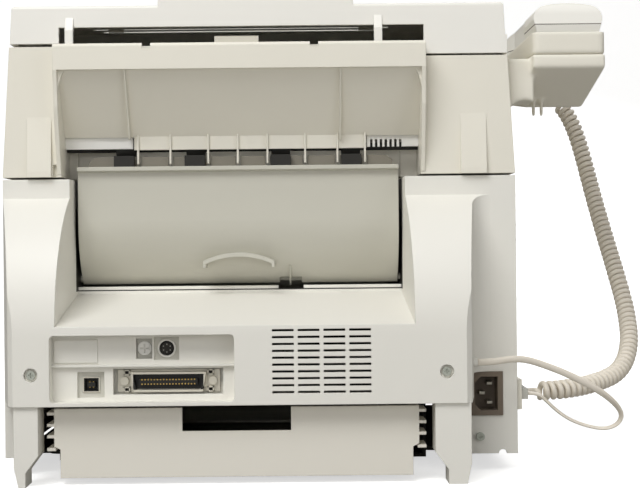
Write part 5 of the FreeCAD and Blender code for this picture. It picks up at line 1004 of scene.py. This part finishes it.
for name, middle_y in (("ear_holes", 118.0), ("mouth_holes", -49.0)):
    holes = bmesh.new()
    for ring, count in HOLE_RINGS:
        for turn in round_turns(count):
            x, y = HANDSET_X + ring * math.cos(turn), middle_y + ring * math.sin(turn)
            outline = [Vector((x + HOLE_RADIUS * math.cos(angle), y + HOLE_RADIUS * math.sin(angle),
                               HANDSET_FACE)) * MM for angle in round_turns(HOLE_SIDES)]
            # Each leaf is painted shade for the hollow behind one hole.
            add_prism(holes, outline, Vector(), UP * (HOLE_LEAF * MM))
    piece("handset_" + name, holes, "dark_plastic", "handset")

# %% [markdown]
# ## Floor and light
# One pale floor runs up into the background in a quarter round, as studio paper does, so that no
# line shows behind the machine.

# %% Floor
FLOOR_HALF, FLOOR_NEAR, FLOOR_FAR = 5.0, 6.0, -1.6
PAPER_BEND, PAPER_TOP, BEND_STEPS = 1.2, 5.0, 12

profile = [(FLOOR_NEAR, 0.0), (FLOOR_FAR, 0.0)]
for k in range(1, BEND_STEPS + 1):
    turn = k * math.pi / 2 / BEND_STEPS
    profile.append((FLOOR_FAR - PAPER_BEND * math.sin(turn), PAPER_BEND - PAPER_BEND * math.cos(turn)))
profile.append((FLOOR_FAR - PAPER_BEND, PAPER_TOP))
floor_form = bmesh.new()
rows = [[floor_form.verts.new((x, y, z)) for x in (-FLOOR_HALF, FLOOR_HALF)] for y, z in profile]
for low, high in zip(rows, rows[1:]):
    floor_form.faces.new((low[0], low[1], high[1], high[0])).smooth = True
floor_mesh = bpy.data.meshes.new("floor")
floor_form.to_mesh(floor_mesh)
floor_form.free()
floor = placed("floor", floor_mesh)
print("floor", len(floor_mesh.polygons), "faces")

# %% [markdown]
# A white floor throws much light up, and the undersides in the photograph are dark. So the floor is
# pale only where the camera sees it, with a little light of its own, and a dull grey to all other
# rays. The light path node tells which ray asks.

# %% Floor paint
FLOOR_GLOW = 0.62
FLOOR_DULL = (0.32, 0.31, 0.29, 1)

floor_paint = finish("Pale floor", MOULDED, srgb(246, 246, 245), 0.7, 0.02, edge=0.0,
                     extra={"Drift": 0.01, "Dust": 0.0})
floor_tree = floor_paint.node_tree
floor_shader = floor_tree.nodes["Principled BSDF"].inputs
floor_shader["Emission Color"].default_value = (1, 1, 1, 1)
seen = floor_tree.nodes.new("ShaderNodeLightPath").outputs["Is Camera Ray"]
feed(floor_tree, floor_shader["Emission Strength"], math_node(floor_tree, "MULTIPLY", seen, FLOOR_GLOW))
floor_colour = floor_shader["Base Color"].links[0].from_socket
feed(floor_tree, floor_shader["Base Color"], mix_colour(floor_tree, seen, FLOOR_DULL, floor_colour))
floor_mesh.materials.append(floor_paint)
print("floor painted with", floor_paint.name)

# %% [markdown]
# The light is soft and comes from high on the camera's left. That key lamp alone would leave the rear
# face too dark below, so a level lamp and a fill lamp stand behind the camera on either side. One at
# the front and one above serve the other views, and a dim world fills what is left.

# %% World and lamps
WORLD_COLOUR, WORLD_STRENGTH = (1, 0.995, 0.98, 1), 0.21
REAR_AIM, FRONT_AIM, TOP_AIM = (0, 0.1, 0.15), (0, -0.1, 0.15), (0, 0, 0.2)
world = bpy.data.worlds.new("Studio")
scene.world = world
world.use_nodes = True
surround = world.node_tree.nodes["Background"].inputs
surround["Color"].default_value = WORLD_COLOUR
surround["Strength"].default_value = WORLD_STRENGTH


def soft_light(name, place, aim, size, power):
    """A rectangular lamp of a size in metres and a power in watts, turned towards its aim."""
    lamp = bpy.data.lights.new(name, "AREA")
    lamp.shape = "RECTANGLE"
    lamp.size, lamp.size_y = size
    lamp.energy = power
    light = placed(name, lamp)
    light.location = place
    light.rotation_euler = (Vector(aim) - Vector(place)).to_track_quat("-Z", "Y").to_euler()


soft_light("key_light", (0.75, 1.45, 2.0), REAR_AIM, (1.4, 1.1), 40)
soft_light("level_light", (0.5, 2.3, 0.55), REAR_AIM, (1.2, 0.8), 5)
soft_light("fill_light", (-1.4, 1.5, 0.7), REAR_AIM, (1.2, 1.2), 6)
soft_light("front_light", (-0.8, -1.9, 1.5), FRONT_AIM, (1.5, 1.2), 22)
soft_light("top_light", (0.0, 0.1, 1.9), TOP_AIM, (1.8, 1.8), 2)
print(len(bpy.data.lights), "lamps")
